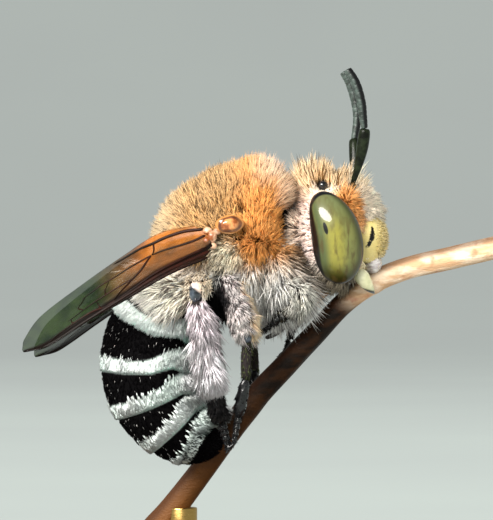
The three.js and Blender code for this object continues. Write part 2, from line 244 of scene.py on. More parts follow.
class BeeColours(bpy.types.PropertyGroup):
    """Colours that a user would change."""

    gold: colour_property("Gold", "cf9c5c", "Hair on top of the thorax and the head")
    orange: colour_property("Orange", "f0a048", "Hair on the sides of the thorax and beside the eyes")
    cream: colour_property("Cream", "ffeac4", "Hair at the rear and at the tips")
    grey: colour_property("Grey", "f6f3ee", "Hair of the beard, cheeks and belly")
    rose: colour_property("Rose grey", "dcc8c6", "Hair of the legs")
    band: colour_property("Band", "d6e2dc", "Flat hair of the abdomen's bands")
    black: colour_property("Black", "080708", "Bare skin, and the dark hairs")
    eye: colour_property("Eye", "757330", "Facets of the eyes")
    face: colour_property("Face", "d9c47c", "Face plate")
    bark: colour_property("Bark", "cfa680", "Bark of the young end of the twig")
    wood: colour_property("Wood", "3a2416", "Base of the stand")
    brass: colour_property("Brass", "c9a460", "Rod of the stand")


def chosen_sizes():
    return bpy.context.scene.bee_sizes


def colours():
    """The chosen colours as arrays."""
    chosen = bpy.context.scene.bee_colours
    return Values(**{name: np.array(getattr(chosen, name)) for name in BeeColours.__annotations__})


# ---------------------------------------------------------------- lines and numbers


def unit(v):
    return v / np.maximum(np.linalg.norm(v, axis=-1, keepdims=True), 1e-9)


def ease(low, high, value):
    """0 below low and 1 above high, with a smooth passage. Low may be the higher one."""
    t = np.clip((value - low) / (high - low), 0, 1)
    return t * t * (3 - 2 * t)


def mix(a, b, share):
    """A mix of two colours or directions. A colour may be a hex code."""
    a, b, share = as_colour(a), as_colour(b), np.asarray(share)[..., None]
    return a * (1 - share) + b * share


def smooth(start, middle, end):
    return lambda t: start * (1 - t) * (1 - 2 * t) + middle * 4 * t * (1 - t) + end * t * (2 * t - 1)


def handed(point, hand):
    return (point[0], point[1] * hand, point[2])


def pitch(degrees):
    """A turn about the line across the body."""
    turn = math.radians(degrees)
    return np.array([[math.cos(turn), 0, -math.sin(turn)], [0, 1, 0], [math.sin(turn), 0, math.cos(turn)]])


def coloured(points, colour):
    """The same colour for every point. It may be a hex code."""
    return np.tile(as_colour(colour), (len(points), 1))


def through(points):
    """A smooth line through points, as a function of the share of its length."""
    count = len(points)
    p = np.array(points, float)
    p = np.vstack([2 * p[0] - p[1], p, 2 * p[-1] - p[-2]])
    gap = np.linalg.norm(np.diff(p, axis=0), axis=1)[:, None] ** 0.5

    def at(t):
        s = np.clip(np.asarray(t, float), 0, 1) * (count - 1)
        i = np.minimum(s.astype(int), count - 2)
        w = (s - i)[:, None]
        p0, p1, p2, p3 = (p[i + k] for k in range(4))
        d0, d1, d2 = (gap[i + k] for k in range(3))
        leave = ((p1 - p0) / d0 - (p2 - p0) / (d0 + d1) + (p2 - p1) / d1) * d1
        reach = ((p2 - p1) / d1 - (p3 - p1) / (d1 + d2) + (p3 - p2) / d2) * d1
        turn = 3 * (p2 - p1) - 2 * leave - reach
        twist = 2 * (p1 - p2) + leave + reach
        return p1 + w * (leave + w * (turn + w * twist))

    return at


def straight(a, b):
    a, b = np.array(a, float), np.array(b, float)
    return lambda t: a + (b - a) * np.asarray(t, float)[:, None]


def bend(root, elbow, tip):
    a, b, c = (np.array(p, float) for p in (root, elbow, tip))

    def at(t):
        t = np.asarray(t, float)[:, None]
        return a * (1 - t) ** 2 + b * 2 * t * (1 - t) + c * t ** 2

    return at


def curl_line(first=CURL["first"], last=CURL["last"]):
    def at(t):
        turn = np.radians(first + (last - first) * np.asarray(t, float))
        x = CURL["x"] + CURL["radius"] * np.cos(turn)
        z = CURL["z"] + CURL["radius"] * np.sin(turn)
        return np.stack([x, 0 * x, z], axis=1)

    return at


def frames(line, t):
    """The points of a line, with its direction and the two directions square to it."""
    t = np.asarray(t, float)
    step = 1e-3
    way = unit(line(np.minimum(t + step, 1)) - line(np.maximum(t - step, 0)))
    across = unit(ACROSS - way * way[:, 1:2])
    return line(t), way, across, np.cross(way, across)


def ripples(seed, points, size, layers=5):
    """A soft wavy number between about -1 and 1 that changes over a few sizes of length."""
    draw = np.random.default_rng(seed)
    waves = unit(draw.normal(size=(layers, 3))) * (2 * np.pi / size) * draw.uniform(0.6, 1.6, (layers, 1))
    phase = draw.uniform(0, 2 * np.pi, layers)
    return np.sin(points @ waves.T + phase).sum(axis=1) / math.sqrt(layers)


# ---------------------------------------------------------------- forms


def reshaped(bm, place):
    """Moves every point of a mesh to where place says. It keeps the point's place on the plain form."""
    unit_form = np.array([v.co for v in bm.verts])
    points, where = place(unit_form)
    layer = bm.verts.layers.float_vector.new("place")
    for v, point, w in zip(bm.verts, points, where):
        v.co = point
        v[layer] = w
    return bm


class Limb:
    """A form along a line, as wide and as deep as given. A blunt of 2 gives the ends of an egg."""

    def __init__(self, line, wide, deep=None, blunt=2.0, even=False):
        self.line, self.wide, self.deep, self.blunt, self.even = line, wide, deep or wide, blunt, even

    def fullness(self, t):
        return (1 - np.abs(2 * t - 1) ** self.blunt).clip(0) ** (1 / self.blunt)

    def mesh(self, sides=24, rings=24, relief=None):
        bm = bmesh.new()
        bmesh.ops.create_uvsphere(bm, u_segments=sides, v_segments=rings, radius=1)

        def place(v):
            z = v[:, 2].clip(-1, 1)
            t = 1 - np.arccos(z) / np.pi if self.even else (z + 1) / 2
            out = np.hypot(v[:, 0], v[:, 1])
            x, y = v[:, 0] / np.maximum(out, 1e-6), v[:, 1] / np.maximum(out, 1e-6)
            full = np.where(out > 1e-4, self.fullness(t), 0)
            if relief is not None:
                full = full * relief(t, x, y)
            centre, _, across, up = frames(self.line, t)
            sideways, upwards = x * full * self.wide(t), y * full * self.deep(t)
            points = centre + across * sideways[:, None] + up * upwards[:, None]
            return points, np.stack([t, x, y], axis=1)

        return reshaped(bm, place)

    def near(self, points):
        """The share of the line nearest to each point, and how far the point is from the form."""
        t = np.linspace(0, 1, 65)
        centre, _, across, up = frames(self.line, t)
        best = np.empty(len(points), int)
        for start in range(0, len(points), 20000):
            part = points[start:start + 20000]
            best[start:start + 20000] = ((part[:, None] - centre[None]) ** 2).sum(axis=2).argmin(axis=1)
        s = t[best]
        off = points - centre[best]
        full = np.maximum(self.fullness(s), 0.05)
        wide, deep = self.wide(s) * full, self.deep(s) * full
        x, y = (off * across[best]).sum(axis=1) / wide, (off * up[best]).sum(axis=1) / deep
        return s, (np.hypot(x, y) - 1) * np.minimum(wide, deep), np.arctan2(y, x)


class Egg:
    """An egg-shaped form round a centre. It leans back by its tilt."""

    def __init__(self, centre, size, tilt=0):
        self.centre, self.size = np.array(centre, float), np.array(size, float)
        self.turn = pitch(tilt)

    def mesh(self, sides=32, rings=20, relief=None):
        bm = bmesh.new()
        bmesh.ops.create_uvsphere(bm, u_segments=sides, v_segments=rings, radius=1)

        def place(v):
            out = v if relief is None else v * relief(v)[:, None]
            return self.centre + (out * self.size) @ self.turn.T, v

        return reshaped(bm, place)

    def near(self, points):
        share = np.linalg.norm(((points - self.centre) @ self.turn) / self.size, axis=1)
        return share * 0, (share - 1) * self.size.min(), share * 0


def as_mesh(name, bm):
    mesh = bpy.data.meshes.new(name)
    bm.to_mesh(mesh)
    bm.free()
    return mesh


def in_scene(name, data):
    """A new object in the scene."""
    made = bpy.data.objects.new(name, data)
    bpy.context.scene.collection.objects.link(made)
    return made


def joined(forms):
    """Several meshes as one."""
    whole = forms[0]
    for part in forms[1:]:
        passing = as_mesh("passing", part)
        whole.from_mesh(passing)
        bpy.data.meshes.remove(passing)
    return whole


def set_down(name, mesh, finishes, slot, stands_for=()):
    """Makes a finished mesh, in metres, a piece of the bee."""
    piece = in_scene(name, mesh)
    for finish in finishes:
        mesh.materials.append(finish)
    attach(piece, "root")
    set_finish(piece, slot)
    if stands_for:
        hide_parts(*stands_for)
    return piece


def in_order(mesh):
    """Gives a mesh's faces one fixed order, since Blender makes its plain forms in an order that varies."""
    faces = sorted(tuple(face.vertices) for face in mesh.polygons)
    sizes = [len(face) for face in faces]
    mesh.polygons.foreach_set("loop_start", np.cumsum([0] + sizes[:-1], dtype=np.int32))
    mesh.loops.foreach_set("vertex_index", np.concatenate(faces).astype(np.int32))
    mesh.update(calc_edges=True)


def in_metres(name, bm):
    """A smooth mesh in metres from a form in millimetres."""
    bmesh.ops.transform(bm, matrix=Matrix.Scale(MM, 4), verts=bm.verts)
    for face in bm.faces:
        face.smooth = True
    return as_mesh(name, bm)


def add_piece(name, bm, finishes, slot, stands_for=()):
    """Turns a form in millimetres into a piece."""
    mesh = in_metres(name, bm)
    in_order(mesh)
    return set_down(name, mesh, finishes, slot, stands_for)


def grown_together(bm, voxel, rounds):
    """One closed skin round all the forms in a mesh."""
    mesh = as_mesh("forms", bm)
    forms = in_scene("forms", mesh)
    remesh = forms.modifiers.new("Remesh", "REMESH")
    remesh.mode = "VOXEL"
    remesh.voxel_size = voxel
    soften = forms.modifiers.new("Soften", "SMOOTH")
    soften.factor = 0.5
    soften.iterations = rounds
    depsgraph = bpy.context.evaluated_depsgraph_get()
    skin = bpy.data.meshes.new_from_object(forms.evaluated_get(depsgraph))
    bpy.data.objects.remove(forms)
    bpy.data.meshes.remove(mesh)
    return skin


def of_vertices(mesh, field):
    """The places ("co") or the normals ("normal") of a mesh's vertices."""
    values = np.empty(len(mesh.vertices) * 3, np.float32)
    mesh.vertices.foreach_get(field, values)
    return values.reshape(-1, 3).astype(float)


def set_colours(mesh, name, colours_of):
    """Gives each vertex of a mesh a colour."""
    opaque = np.ones((*colours_of.shape[:-1], 1))
    layer = mesh.color_attributes.new(name, "FLOAT_COLOR", "POINT")
    layer.data.foreach_set("color", np.concatenate([colours_of, opaque], axis=-1).astype(np.float32).ravel())


# ---------------------------------------------------------------- finishes


def node(tree, kind, inputs=(), **choices):
    """Adds a shader node. Each input is a socket to link, or a plain value."""
    made = tree.nodes.new("ShaderNode" + kind)
    for name, value in choices.items():
        setattr(made, name, value)
    for socket, value in dict(inputs).items():
        if isinstance(value, bpy.types.NodeSocket):
            tree.links.new(value, made.inputs[socket])
        else:
            made.inputs[socket].default_value = value
    return made


def shade(colour):
    return (*[float(c) for c in colour], 1.0)


def grain_group():
    """Uneven colour and relief over a surface. Sizes are in millimetres."""
    if "Bee grain" in bpy.data.node_groups:
        return bpy.data.node_groups["Bee grain"]
    group = bpy.data.node_groups.new("Bee grain", "ShaderNodeTree")
    for name, default in (("Fineness", 4.0), ("Stretch X", 1.0), ("Stretch Y", 1.0), ("Stretch Z", 1.0),
                          ("Low", 0.35), ("High", 0.65)):
        socket = group.interface.new_socket(name, in_out="INPUT", socket_type="NodeSocketFloat")
        socket.default_value = default
    for name in ("Mask", "Height"):
        group.interface.new_socket(name, in_out="OUTPUT", socket_type="NodeSocketFloat")
    start = group.nodes.new("NodeGroupInput")
    end = group.nodes.new("NodeGroupOutput")
    place = node(group, "TexCoord")
    scaled = node(group, "Mapping", {"Vector": place.outputs["Object"], "Scale": (1 / MM,) * 3})
    stretch = node(group, "CombineXYZ", {"X": start.outputs["Stretch X"], "Y": start.outputs["Stretch Y"],
                                         "Z": start.outputs["Stretch Z"]})
    pulled = node(group, "VectorMath", {0: scaled.outputs[0], 1: stretch.outputs[0]}, operation="MULTIPLY")
    cloud = node(group, "TexNoise", {"Vector": pulled.outputs[0], "Scale": start.outputs["Fineness"],
                                     "Detail": 3.0})
    mask = node(group, "MapRange", {"Value": cloud.outputs[0], "From Min": start.outputs["Low"],
                                    "From Max": start.outputs["High"]})
    group.links.new(mask.outputs[0], end.inputs["Mask"])
    group.links.new(cloud.outputs[0], end.inputs["Height"])
    return group


class Finish:
    """A material with one shader, and short ways to feed it."""

    def __init__(self, name, **sockets):
        self.material = bpy.data.materials.new(name)
        self.material.use_nodes = True
        self.tree = self.material.node_tree
        self.tree.nodes.clear()
        self.shader = node(self.tree, "BsdfPrincipled")
        output = self.tree.nodes.new("ShaderNodeOutputMaterial")
        self.tree.links.new(self.shader.outputs[0], output.inputs[0])
        for socket, value in sockets.items():
            self.shader.inputs[socket.replace("_", " ")].default_value = value

    def feed(self, socket, value):
        self.tree.links.new(value, self.shader.inputs[socket])
        return self

    def grain(self, fineness, stretch=(1, 1, 1), low=0.35, high=0.65):
        """The two outputs of a grain group: a mask for colours and a height for relief."""
        made = self.tree.nodes.new("ShaderNodeGroup")
        made.node_tree = grain_group()
        values = (fineness, *stretch, low, high)
        for socket, value in zip(made.inputs, values):
            socket.default_value = value
        return Values(mask=made.outputs[0], height=made.outputs[1])

    def blend(self, share, first, second, mode="MIX"):
        """A mix of two colours, given as sockets, as values or as hex codes."""
        pair = [c if isinstance(c, bpy.types.NodeSocket) else shade(as_colour(c)) for c in (first, second)]
        made = node(self.tree, "Mix", {0: share, 6: pair[0], 7: pair[1]}, data_type="RGBA", blend_type=mode)
        return made.outputs[2]

    def attribute(self, name):
        return node(self.tree, "Attribute", attribute_name=name).outputs["Color"]

    def place(self, axis):
        """One of the three numbers of a point's place on the plain form."""
        vector = node(self.tree, "Attribute", attribute_name="place").outputs["Vector"]
        return node(self.tree, "SeparateXYZ", {0: vector}).outputs[axis]

    def range(self, value, low, high, to_low=0.0, to_high=1.0):
        ends = {"Value": value, "From Min": low, "From Max": high, "To Min": to_low, "To Max": to_high}
        return node(self.tree, "MapRange", ends, interpolation_type="SMOOTHSTEP").outputs[0]

    def maths(self, operation, first, second=0.0):
        return node(self.tree, "Math", {0: first, 1: second}, operation=operation).outputs[0]

    def times(self, first, second):
        return self.maths("MULTIPLY", first, second)

    def plus(self, first, second):
        return self.maths("ADD", first, second)

    def minus(self, first, second):
        return self.maths("SUBTRACT", first, second)

    def bump(self, height, strength, distance):
        made = node(self.tree, "Bump", {"Height": height, "Strength": strength, "Distance": distance * MM})
        self.feed("Normal", made.outputs[0])

    def done(self, colour, height, strength, distance):
        """The material, with its colour and its relief."""
        self.feed("Base Color", colour)
        self.bump(height, strength, distance)
        return self.material


def speckled(name, grain, first, second, strength, distance, **sockets):
    """A plain material of two colours in uneven spots."""
    finish = Finish(name, **sockets)
    cloud = finish.grain(*grain)
    return finish.done(finish.blend(cloud.mask, first, second), cloud.height, strength, distance)


# ---------------------------------------------------------------- the body's skin


def leg_limb(leg, side, part):
    joints = LEGS[leg][side]
    i = FURRED.index(part)
    radius = LEG_RADII[leg][i]
    taper = LEG_TAPER[part]
    return Limb(straight(joints[i], joints[i + 1]), smooth(*(radius * share for share in taper)), blunt=4)


def body_forms():
    """The forms under the coat, each with the name of its region."""
    forms = [(region, Egg(centre, size, tilt)) for region, centre, size, tilt in SKIN_EGGS]
    forms.append(("head", Limb(straight(*NECK), lambda t: NECK_RADIUS + 0 * t, blunt=6)))
    wide, deep = CURL["wide"], CURL["deep"]
    forms.append(("abdomen", Limb(curl_line(), lambda t: wide + 0 * t, lambda t: deep + 0 * t)))
    for leg, sides in LEGS.items():
        for side in sides:
            for part in FURRED:
                forms.append((f"{leg}_{side}_{part}", leg_limb(leg, side, part)))
    return forms


def region_of(points):
    """The index of the form nearest to each point, with the forms."""
    forms = body_forms()
    gaps = np.stack([form.near(points)[1] for _, form in forms])
    return gaps.argmin(axis=0), forms


def curl_place(points):
    """A point's angle round the curl of the abdomen in degrees, and its distance from the curl's axis."""
    x, z = points[:, 0] - CURL["x"], points[:, 2] - CURL["z"]
    return np.degrees(np.arctan2(z, x)) % 360, np.hypot(x, z)


def rim_angle(rim, reach):
    """Where a band's rear rim runs: it lags from back to side and turns forward again on the belly."""
    lag = BAND_LAG * (3.9 - reach).clip(0, 2.3)
    return rim + lag - 12 * ease(2.5, 1.5, reach) * ease(210, 150, rim)


def band_share(points):
    """How far each point lies in a pale band, and how far behind it the band's rear rim is in millimetres.

    The third number is below 0 in the band and tells how far the band's front edge is.
    """
    angle, reach = curl_place(points)
    width = BAND_WIDTH + 0.12 * ease(2.4, 1.6, reach) - 0.06 * ease(0.8, 0, np.abs(reach - 2.9))
    back = np.full(len(points), 9.0)
    for rim in BAND_ENDS:
        gap = np.radians(rim_angle(rim, reach) - angle) * reach
        back = np.where(gap > -0.03, np.minimum(back, gap), back)
    return ease(-0.03, 0.02, back) * ease(width - 0.04, width - 0.14, back), back, back - width


def markings(points, regions, names):
    """The skin's own colour: black, and tinted under the coat."""
    c = colours()
    tint = coloured(points, c.black)
    for name in sorted(set(names)):
        here = np.isin(regions, [i for i, other in enumerate(names) if other == name])
        if not here.any():
            continue
        p = points[here]
        if name == "abdomen":
            share, _, _ = band_share(p)
            tint[here] = mix(c.black, c.band * 0.9, share)
        elif name in ("head", "thorax"):
            field = head_lie(p, p) if name == "head" else thorax_lie(p, p)
            tint[here] = mix(c.black, field.root, field.bare)
        else:
            share = leg_limb(*name.split("_")).near(p)[0]
            pale = 0.6 * ease(0.4, 0.9, share) * (name.startswith("hind") and name.endswith("tibia"))
            tint[here] = mix(c.black, c.rose, 0.03 + pale)
    return tint


class BEE_OT_skin(bpy.types.Operator):
    """Make one skin over the head, thorax, abdomen and legs"""

    bl_idname = "bee.skin"
    bl_label = "Skin"

    def execute(self, context):
        forms = body_forms()
        whole = joined([form.mesh(48, 32) for _, form in forms])
        mesh = grown_together(whole, SKIN_GRAIN, 5)
        points, out = of_vertices(mesh, "co"), of_vertices(mesh, "normal")
        regions, forms = region_of(points)
        names = [name for name, _ in forms]
        angle, reach = curl_place(points)
        is_abdomen = np.isin(regions, [names.index("abdomen")])
        step = np.zeros(len(points))
        for rim in BAND_ENDS:
            back = np.radians(rim_angle(rim, reach) - angle) * reach
            step = np.maximum(step, 0.05 * ease(-0.02, 0.05, back) * ease(0.9, 0.05, back))
        points += out * (step * is_abdomen)[:, None]
        mesh.vertices.foreach_set("co", (points * MM).astype(np.float32).ravel())
        set_colours(mesh, "marking", markings(points, regions, names))
        region = mesh.attributes.new("region", "INT", "POINT")
        region.data.foreach_set("value", regions.astype(np.int32))
        mesh.update()
        stands_for = ["head", "thorax"] + [f"abdomen_ring_{i}" for i in range(1, 7)]
        stands_for += [f"{leg}_leg_{side}_{part}" for leg in LEGS for side in HANDS for part in FURRED]
        set_down("skin", mesh, [skin_finish()], "abdomen_coat", stands_for)
        return {"FINISHED"}


def skin_finish():
    finish = Finish("skin", Roughness=0.55, Specular_IOR_Level=0.03)
    cloud = finish.grain(2.5)
    pores = finish.grain(26)
    colour = finish.blend(cloud.mask, finish.attribute("marking"), (0.8, 0.8, 0.82), "MULTIPLY")
    finish.feed("Base Color", colour)
    finish.feed("Roughness", finish.range(pores.height, 0.3, 0.7, 0.75, 0.9))
    finish.bump(pores.height, 0.5, 0.02)
    return finish.material


# ---------------------------------------------------------------- the eyes


def eye_limb(hand, grow=0.0):
    line = bend(*(handed(EYE[name], hand) for name in ("top", "bow", "bottom")))
    wide, deep = smooth(*EYE["bulge"]), smooth(*EYE["length"])
    return Limb(line, lambda t: wide(t) + grow, lambda t: deep(t) + grow, blunt=2.2)


class BEE_OT_eyes(bpy.types.Operator):
    """Make the two compound eyes and the three small eyes on top of the head"""

    bl_idname = "bee.eyes"
    bl_label = "Eyes"

    def execute(self, context):
        for side, hand in HANDS.items():
            bm = eye_limb(hand).mesh(72, 56)
            layer = bm.verts.layers.float_vector["place"]
            for v in bm.verts:
                v[layer].y *= hand
            add_piece(f"compound_eye_{side}", bm, [eye_finish()], "eye", [f"eye_{side}"])
        places = [(handed(OCELLUS, 1), OCELLUS_RADIUS), (handed(OCELLUS, -1), OCELLUS_RADIUS),
                  (MIDDLE_OCELLUS, MIDDLE_OCELLUS_RADIUS)]
        small = [Egg(centre, (radius,) * 3).mesh(24, 16) for centre, radius in places]
        add_piece("small_eyes", joined(small), [small_eye_finish()], "eye")
        return {"FINISHED"}


def eye_finish():
    c = colours()
    finish = Finish("eye", Roughness=0.3, Coat_Weight=0.6, Coat_Roughness=0.03, IOR=1.45,
                    Specular_IOR_Level=0.25)
    along, outward, over = (finish.place(axis) for axis in range(3))
    smear = finish.grain(2.2, (3.0, 1.5, 0.5), 0.5, 0.62)
    cloud = finish.grain(1.6, (1, 1, 0.7))
    blotch = finish.grain(3.6, (1.5, 1, 0.8), 0.5, 0.68)
    colour = finish.blend(cloud.mask, c.eye, c.eye * np.array((1.36, 1.26, 1.3)))
    colour = finish.blend(finish.range(along, 0.5, 0.12), colour, "5d5f3e")
    colour = finish.blend(finish.range(over, 0.05, 0.5, 0, 0.6), colour, "5b6440")
    colour = finish.blend(finish.times(blotch.mask, 0.5), colour, "50482a")
    colour = finish.blend(finish.range(over, -0.2, -0.6), colour, "47502f")
    colour = finish.blend(finish.range(over, 0.55, 0.95), colour, "34381c")
    colour = finish.blend(finish.range(along, 0.72, 0.94), colour, "262507")
    low = finish.times(smear.mask, finish.range(along, 0.3, 0.5, 0.25, 0.75))
    colour = finish.blend(low, colour, "46391a")
    colour = finish.blend(finish.range(over, -0.7, -0.8), colour, "06070b")
    girth = finish.maths("POWER", finish.times(along, finish.minus(1.0, along)), 0.5)
    rim = finish.times(outward, finish.times(girth, 2.0))
    rim = finish.minus(rim, finish.range(along, 0.2, 0.0, 0.0, 0.16))
    colour = finish.blend(finish.range(rim, 0.36, 0.27), colour, "06070b")
    beside = finish.maths("DIVIDE", finish.minus(over, -0.36), 0.085)
    below = finish.maths("DIVIDE", finish.minus(along, 0.378), 0.07)
    mark = finish.plus(finish.times(beside, beside), finish.times(below, below))
    colour = finish.blend(finish.range(mark, 1.15, 0.7), colour, "060504")
    finish.feed("Base Color", colour)
    facets = node(finish.tree, "TexVoronoi", {"Vector": node(finish.tree, "TexCoord").outputs["Object"],
                                              "Scale": 1 / (0.03 * MM)}, feature="F1")
    finish.bump(facets.outputs[0], 0.08, 0.01)
    return finish.material


def small_eye_finish():
    horn = np.array((0.004, 0.004, 0.005))
    return speckled("small_eye", (6,), horn, horn * 2.5, 0.1, 0.02, Roughness=0.12, Coat_Weight=0.5,
                    Coat_Roughness=0.05)


# ---------------------------------------------------------------- the face


class BEE_OT_face(bpy.types.Operator):
    """Make the face plate, the lip, the jaws and the tongue"""

    bl_idname = "bee.face"
    bl_label = "Face, jaws and tongue"

    def execute(self, context):
        plate = Egg(CLYPEUS["centre"], CLYPEUS["size"], CLYPEUS["tilt"]).mesh(64, 44)
        add_piece("face_plate", plate, [face_finish()], "face_plate", ["clypeus"])
        lip = Egg(LABRUM["centre"], LABRUM["size"], LABRUM["tilt"])
        add_piece("lip", lip.mesh(40, 28), [lip_finish()], "lip", ["labrum"])
        for side, hand in HANDS.items():
            line = bend(*(handed(MANDIBLE[name], hand) for name in ("root", "elbow", "tip")))
            jaw = Limb(line, smooth(0.22, 0.22, 0.06), smooth(0.24, 0.2, 0.04), blunt=3)
            add_piece(f"jaw_{side}", jaw.mesh(32, 32), [jaw_finish()], "jaw", [f"mandible_{side}"])
        wide, deep = smooth(0.27, 0.16, 0.1), smooth(0.22, 0.12, 0.08)
        tongue = Limb(through(PROBOSCIS), wide, deep, blunt=5, even=True)
        groove = lambda t, x, y: 1 - 0.18 * np.exp(-(x / 0.25) ** 2) * (y < 0)
        add_piece("tongue", tongue.mesh(28, 60, groove), [tongue_finish()], "tongue", ["proboscis"])
        return {"FINISHED"}


def face_finish():
    c = colours()
    finish = Finish("face", Roughness=0.4, Specular_IOR_Level=0.35)
    ahead, side, height = (finish.place(axis) for axis in range(3))
    cloud = finish.grain(3.0)
    ridges = finish.grain(10, (1.2, 0.4, 2.4))
    colour = finish.blend(cloud.mask, c.face, c.face * np.array((1.06, 1.1, 1.3)))
    colour = finish.blend(finish.range(height, -0.72, -0.86), colour, "1c1510")
    lift = finish.minus(height, 0.2)
    arc = finish.minus(0.34, finish.times(finish.times(lift, lift), 0.9))
    mark = finish.maths("ABSOLUTE", finish.minus(ahead, arc))
    stroke = finish.times(finish.range(lift, 0.3, -0.05, 0.05, 0.1),
                          finish.range(ridges.height, 0.4, 0.6, 0.8, 1.25))
    spot = finish.times(finish.range(finish.maths("DIVIDE", mark, stroke), 1.2, 0.8),
                        finish.range(height, -0.32, -0.2))
    spot = finish.times(spot, finish.range(height, 0.5, 0.42))
    spot = finish.times(spot, finish.range(finish.maths("ABSOLUTE", side), 0.35, 0.5))
    colour = finish.blend(spot, colour, "0c0908")
    return finish.done(colour, ridges.height, 0.6, 0.03)


def lip_finish():
    return speckled("lip", (9, (0.5, 0.4, 2.2)), "b5a8ac", "fbf8f6", 0.6, 0.04, Roughness=0.5)


def jaw_finish():
    finish = Finish("jaw", Roughness=0.25, Coat_Weight=0.3, Coat_Roughness=0.1)
    cloud = finish.grain(4)
    colour = finish.blend(cloud.mask, "e9e4c0", "c9c79c")
    edge = finish.plus(finish.place(0), finish.times(finish.place(2), -0.22))
    colour = finish.blend(finish.range(edge, 0.66, 0.8), colour, "140c08")
    return finish.done(colour, cloud.height, 0.3, 0.02)


def tongue_finish():
    finish = Finish("tongue", Roughness=0.3)
    cloud = finish.grain(5, (1, 2, 1))
    colour = finish.blend(cloud.mask, "c98f3a", "8a5520")
    colour = finish.blend(finish.range(finish.place(0), 0.3, 0.5), colour, "120c09")
    return finish.done(colour, cloud.height, 0.3, 0.02)


# ---------------------------------------------------------------- the feelers


SEGMENTS = 11


def segmented(count, depth, tightness=0.1):
    """A relief with a groove between each two of its joints."""

    def relief(t, x, y):
        share = (t * count) % 1
        return 1 - depth * np.exp(-(np.minimum(share, 1 - share) / tightness) ** 2)

    return relief


class BEE_OT_feelers(bpy.types.Operator):
    """Make the two feelers, each a scape, a small joint and a jointed whip"""

    bl_idname = "bee.feelers"
    bl_label = "Feelers"

    def execute(self, context):
        for side, feeler in FEELERS.items():
            socket, elbow = (np.array(feeler[name]) for name in ("socket", "elbow"))
            line = bend(socket, (socket + elbow) / 2 + (0.12, 0, 0), elbow)
            scape = Limb(line, lambda t: 0.075 + 0.105 * ease(0, 0.75, t), blunt=7)
            knob = Egg(feeler["socket"], (0.15, 0.15, 0.12))
            parts = joined([scape.mesh(28, 40), knob.mesh(24, 16)])
            add_piece(f"feeler_scape_{side}", parts, [scape_finish()], "feeler_black", [f"scape_{side}"])
            whip = Limb(through(feeler["whip"]), smooth(0.1, 0.14, 0.13), blunt=12, even=True)
            bm = whip.mesh(24, SEGMENTS * 8, segmented(SEGMENTS, 0.07))
            add_piece(f"feeler_whip_{side}", bm, [whip_finish()], "feeler_grey", [f"flagellum_{side}"])
        return {"FINISHED"}


def scape_finish():
    return speckled("scape", (5,), "0c0e09", "1f2618", 0.25, 0.02, Roughness=0.25, Specular_IOR_Level=0.14)


def whip_finish():
    finish = Finish("whip", Roughness=0.4, Specular_IOR_Level=0.3)
    cloud = finish.grain(5, (1, 1, 1.6))
    # painted sheen: the whip is grey-green on the side that faces back and near black on the side that faces
    # forward
    painted_sheen = finish.blend(cloud.mask, "262c29", "49544f")
    colour = finish.blend(finish.range(finish.place(2), 0.35, -0.35), painted_sheen, "0d0d0e")
    return finish.done(colour, cloud.height, 0.2, 0.02)


# ---------------------------------------------------------------- the wings and their covers


def wing_surface(wing, hand):
    """A wing's membrane as a function of the share of its length and of its chord."""
    root = np.array(wing["lead"][0]) * (1, 0, 1)
    turn = pitch(LEFT_WING_DROOP if hand > 0 else 0)
    edges = []
    for edge, sign in (("lead", 1), ("trail", -1)):
        points = np.array(wing[edge]) + MEMBRANE_EDGE * sign
        points[:, 1] *= hand
        edges.append(through((points - root) @ turn.T + root))

    def at(t, s):
        front, back = edges[0](t), edges[1](t)
        way = unit(edges[0](np.minimum(t + 1e-3, 1)) - edges[0](np.maximum(t - 1e-3, 0)))
        lift = unit(np.cross(way, back - front)) * hand
        camber = 0.1 * np.sin(np.pi * s) * np.sin(np.pi * np.clip(t, 0.02, 1)) ** 0.5
        pleat = 0.025 * np.sin(s * 19 + t * 3) * np.sin(np.pi * s) * ease(0, 0.15, t)
        return front + (back - front) * s[:, None] - lift * (camber + pleat)[:, None]

    return at


def membrane(surface, thick):
    bm = bmesh.new()
    bmesh.ops.create_grid(bm, x_segments=90, y_segments=28, size=0.5)

    def place(v):
        t, s = v[:, 0] + 0.5, v[:, 1] + 0.5
        # the chord is drawn in at the tip, so that the tip is round, and a little at the root
        tip = ((t - TIP_START) / (1 - TIP_START)).clip(0, 1)
        s = s * np.sqrt(1 - 0.985 * tip ** 2) + 0.3 * tip ** 2
        s = 0.45 + (s - 0.45) * (1 - 0.45 * ease(0.05, 0, t))
        return surface(t, s), np.stack([t, v[:, 1] + 0.5, 0 * t], axis=1)

    reshaped(bm, place)
    bmesh.ops.solidify(bm, geom=bm.faces[:], thickness=thick)
    bmesh.ops.recalc_face_normals(bm, faces=bm.faces)
    return bm


def vein(surface, radius, route):
    """A vein that lies along a membrane."""
    guide = through([(t, s, 0) for t, s in route])

    def line(t):
        share = guide(t)
        return surface(share[:, 0].clip(0, 1), share[:, 1].clip(0, 1))

    taper = smooth(1.0, 0.95, 0.6)
    return Limb(line, lambda t: radius * taper(t), blunt=10, even=True).mesh(8, 30)


